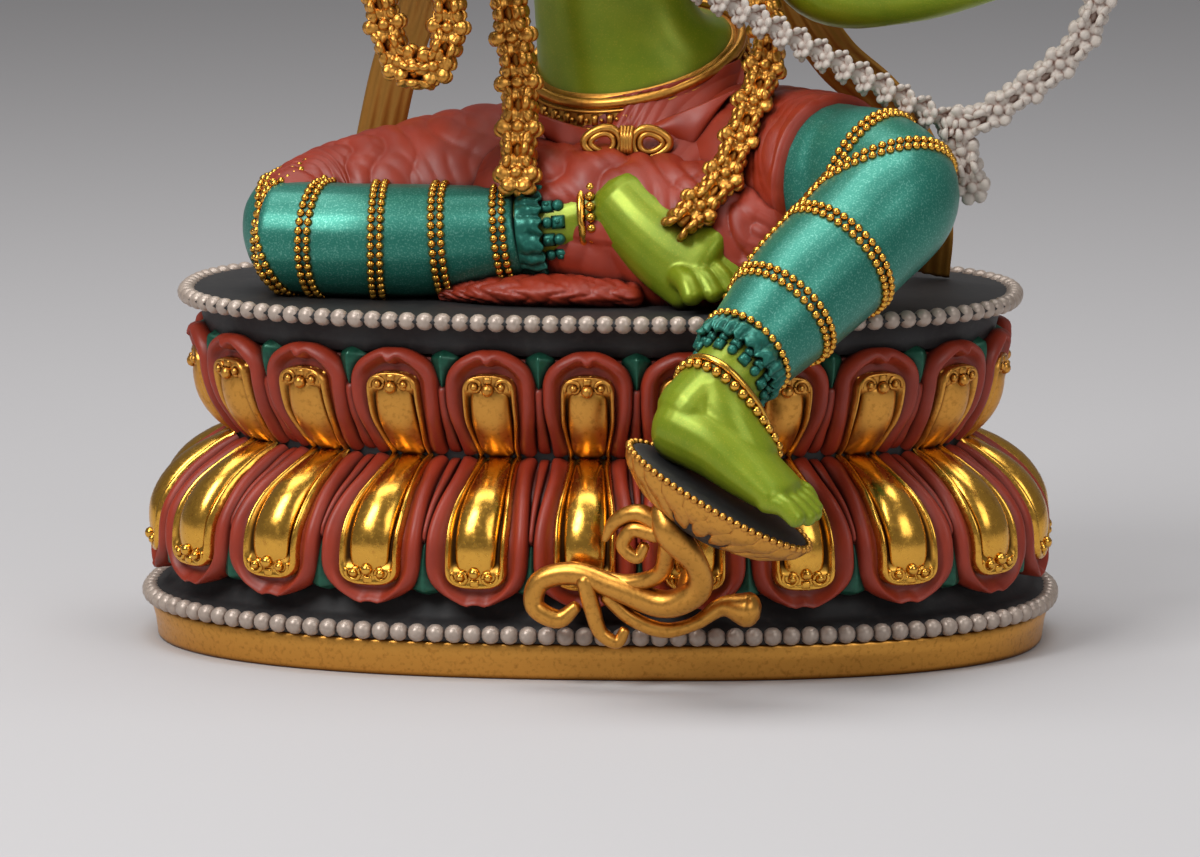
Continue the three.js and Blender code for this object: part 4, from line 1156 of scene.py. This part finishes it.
FEET = {name: surface(bpy.data.objects[name].data) for name in ("right_foot", "left_foot")}
right_axis, left_axis = np.array([1, -0.05, 0.09]), unit(left_line[-30, :3] - left_line[-50, :3])
ruffles = join(
    ruffle((-18.2, -24.4, 108.6), right_axis, 11.6, 6.6, 22, 1.7, 1),
    ruffle((44.2, -82.4, 86.6), left_axis, 11.6, 6.4, 22, 1.7, 2),
    *studs(FEET["right_foot"], (-11.6, -24.8, 109.8), right_axis, 3),
    *studs(FEET["left_foot"], (40.6, -86.8, 82.2), left_axis, 4, (-0.6, 1.8), 1.3),
)
piece("ruffles", ruffles, DARK_TEAL, "teal_paint", "figure")
anklets = []
for tree, centre, normal in (
    (FEET["right_foot"], (-1.2, -25.3, 111.2), right_axis), (FEET["left_foot"], (37.2, -91.2, 78.4), left_axis),
):
    band_line, _ = girdle(tree, centre, normal, 1.2, 0.2, 0)
    anklets.append(tube(band_line, 1.1, 1.0, 12, closed=True))
    anklets.append(stamp(BEAD, girdle(tree, centre, normal, 2.7, 0.5, 2.5)[0], sizes=1.2))
piece("anklets", join(*anklets), BRIGHT_GOLD, "bright_gold", "figure")

# The foot's lotus.
DISH = dict(centre=np.array([38.2, -98.5, 52.7]), half=26.1, depth=14, tilt=0.518, lean=0.13)
ct, st, cl, sl = np.cos(DISH["tilt"]), np.sin(DISH["tilt"]), np.cos(DISH["lean"]), np.sin(DISH["lean"])
DISH_TURN = np.array([[ct, 0, st], [0, 1, 0], [-st, 0, ct]]) @ np.array([[1, 0, 0], [0, cl, -sl], [0, sl, cl]])


def dish_place(angle, share, z):
    """Points of the dish: an oval at a share of its size, at a height off its face."""
    flat = np.stack(np.broadcast_arrays(np.cos(angle) * DISH["half"] * share, np.sin(angle) * DISH["depth"] * share, z), -1)
    return flat @ DISH_TURN.T + DISH["centre"]


a = np.arange(96) / 96 * 2 * np.pi
rows = np.array([[0, -12.4], [0.3, -12], [0.62, -9], [0.86, -4.5], [0.95, -1.2], [0.96, -0.4], [0.9, 0], [0, 0]])
piece("dish_ground", grid(dish_place(a[None], rows[:, :1], rows[:, 1:]), round_v=True), BLACK, "black_paint", "foot_lotus")
rim_line = dish_place(np.linspace(0, 2 * np.pi, 400), 0.985, -0.6)
dish_rim = [stamp(ball(1.05, 8, 6), evenly(rim_line, 2.05)[:-1])]
for count, shift, top, bottom, wide in ((22, 0.0, -1.0, -7.4, 1.15), (22, 0.5, -3.6, -10.6, 1.0)):
    v = np.linspace(0, 1, 9)
    s = np.linspace(-1, 1, 9)
    z = top + (bottom - top) * v
    share = np.interp(z, rows[::-1, 1][2:7][::1], rows[::-1, 0][2:7][::1]) if False else np.interp(-z, [0.4, 1.2, 4.5, 9, 12], [0.96, 0.95, 0.86, 0.62, 0.3])
    width = wide * np.sqrt(np.clip(1 - v ** 2.2, 0, 1)) * 0.5
    bulge = 0.05 + 0.035 * np.sin(np.pi * v)[:, None] * (1 - s ** 2)[None]
    k = np.arange(count)[:, None, None]
    where = (k + shift + s[None, None] * width[None, :, None]) / count * 2 * np.pi
    front = dish_place(where, (share[:, None] + bulge)[None], z[None, :, None] * np.ones((count, 1, 9)))
    back = dish_place(where[..., ::-1], (share[:, None] - 0.06)[None], z[None, :, None] * np.ones((count, 1, 9)))
    dish_rim.append(grid(np.concatenate([front, back], 2), round_v=True))
STEMS = [
    [[24, -96, 47, 4], [26, -98, 42.5, 4.2], [32.1, -95, 34, 3], [32.4, -91.5, 27.5, 3.4], [24.2, -88, 22.8, 3.6], [11.3, -86, 26.3, 3.2],
     [0, -84, 29.6, 3], [-8.4, -83, 27, 2.8], [-9.6, -83, 21, 2.6], [-3.5, -83.5, 17.8, 2.4], [0.8, -84, 21, 1.6]],
    [[25, -96, 39, 2.4], [22.6, -90, 31, 2.2], [14.4, -86, 27.6, 2.4], [4, -84.5, 29.4, 2]],
    [[24, -97, 44, 2.6], [17.4, -95.6, 47, 2.4], [11.4, -94, 44.2, 1.9], [9, -93, 40, 0.9]],
    [[22, -97, 42, 2.2], [16, -96, 42.8, 2], [13.6, -95, 38.6, 1.8], [17.2, -95, 35.8, 1.7], [19, -95, 38.6, 1.4]],
    [[3.4, -86, 28, 2.4], [5.2, -86, 21, 2.2], [7.4, -85, 14.6, 1.9], [11.4, -85, 12.4, 1.7], [13.2, -85, 15.2, 1.4]],
    [[9, -85.5, 24, 2], [15, -85, 18.6, 2], [23.4, -85, 15.6, 2], [31, -84.6, 17.4, 1.8], [38, -83.6, 21.6, 2.6], [44, -84, 21, 4.6]],
    [[29, -90, 25, 3], [29, -70, 27, 3]],
]
for route in STEMS:
    s = np.array(route, float)
    dish_rim.append(limb(s[:, [0, 1, 2, 3, 3]], sides=20, steps=8, up=(0, 1, 0)))
piece("gold_foot_lotus", join(*dish_rim), ANTIQUE_GOLD, "antique_gold", "foot_lotus")

hair = stacked(HAIR, 120, 8, lambda s, a: 0.4 * np.abs(np.sin(12 * a)) - 0.2)
piece("hair", hair, BLACK, "black_paint", "figure")
CROWN = dict(x=-3.4, y=3, wide=16.4, deep=17.4, spread=0.62)
leaves = []
for k in range(-2, 3):
    a = -np.pi / 2 + k * CROWN["spread"]
    x, y = CROWN["x"] + np.cos(a) * CROWN["wide"], CROWN["y"] + np.sin(a) * CROWN["deep"]
    leaves.append(limb([[x, y, 257, 5, 1.2], [x, y, 267, 4.8, 1.4], [x, y, 277, 0.6, 0.6]], up=(np.cos(a), np.sin(a), 0)))
leaves.append(limb([[-3.4, 7, 293, 3, 3], [-3.4, 7, 299, 2.2, 2.2], [-3.4, 7, 304.4, 0.4, 0.4]], sides=16))
piece("crown", join(*leaves), BRIGHT_GOLD, "bright_gold", "figure")

# Floor, backdrop and light.
floor_paint = finish("floor_paper", "#b9b7b8", [], rough=0.85)
bpy.context.scene.view_settings.view_transform = "Standard"
world = bpy.data.worlds.new("room")
bpy.context.scene.world = world
world.use_nodes = True
world.node_tree.nodes["Background"].inputs[0].default_value = linear("#b9b8b9")
world.node_tree.nodes["Background"].inputs[1].default_value = 0.38
reach = 3.2
u, v = np.meshgrid(np.linspace(-reach, reach, 9), np.linspace(-reach, reach, 9), indexing="ij")
floor_mesh = mesh_of("floor", grid(np.stack([u, v, u * 0], -1) / MM))
floor_mesh.materials.append(floor_paint)
floor = bpy.data.objects.new("floor", floor_mesh)
bpy.context.scene.collection.objects.link(floor)


def lamp(name, place, size, power, aim=(0, 0, 0.07)):
    """A square soft box that faces the statue."""
    light = bpy.data.lights.new(name, "AREA")
    light.shape = "RECTANGLE"
    light.size, light.size_y = size
    light.energy = power
    made = bpy.data.objects.new(name, light)
    bpy.context.scene.collection.objects.link(made)
    made.location = place
    made.rotation_euler = (Vector(aim) - Vector(place)).to_track_quat("-Z", "Y").to_euler()


lamp("key", (-0.7, -0.95, 1.2), (0.55, 0.8), 17)
lamp("fill", (1.0, -1.1, 0.9), (0.8, 0.8), 5)
lamp("top", (0, 0.1, 1.5), (1.4, 1.0), 17)
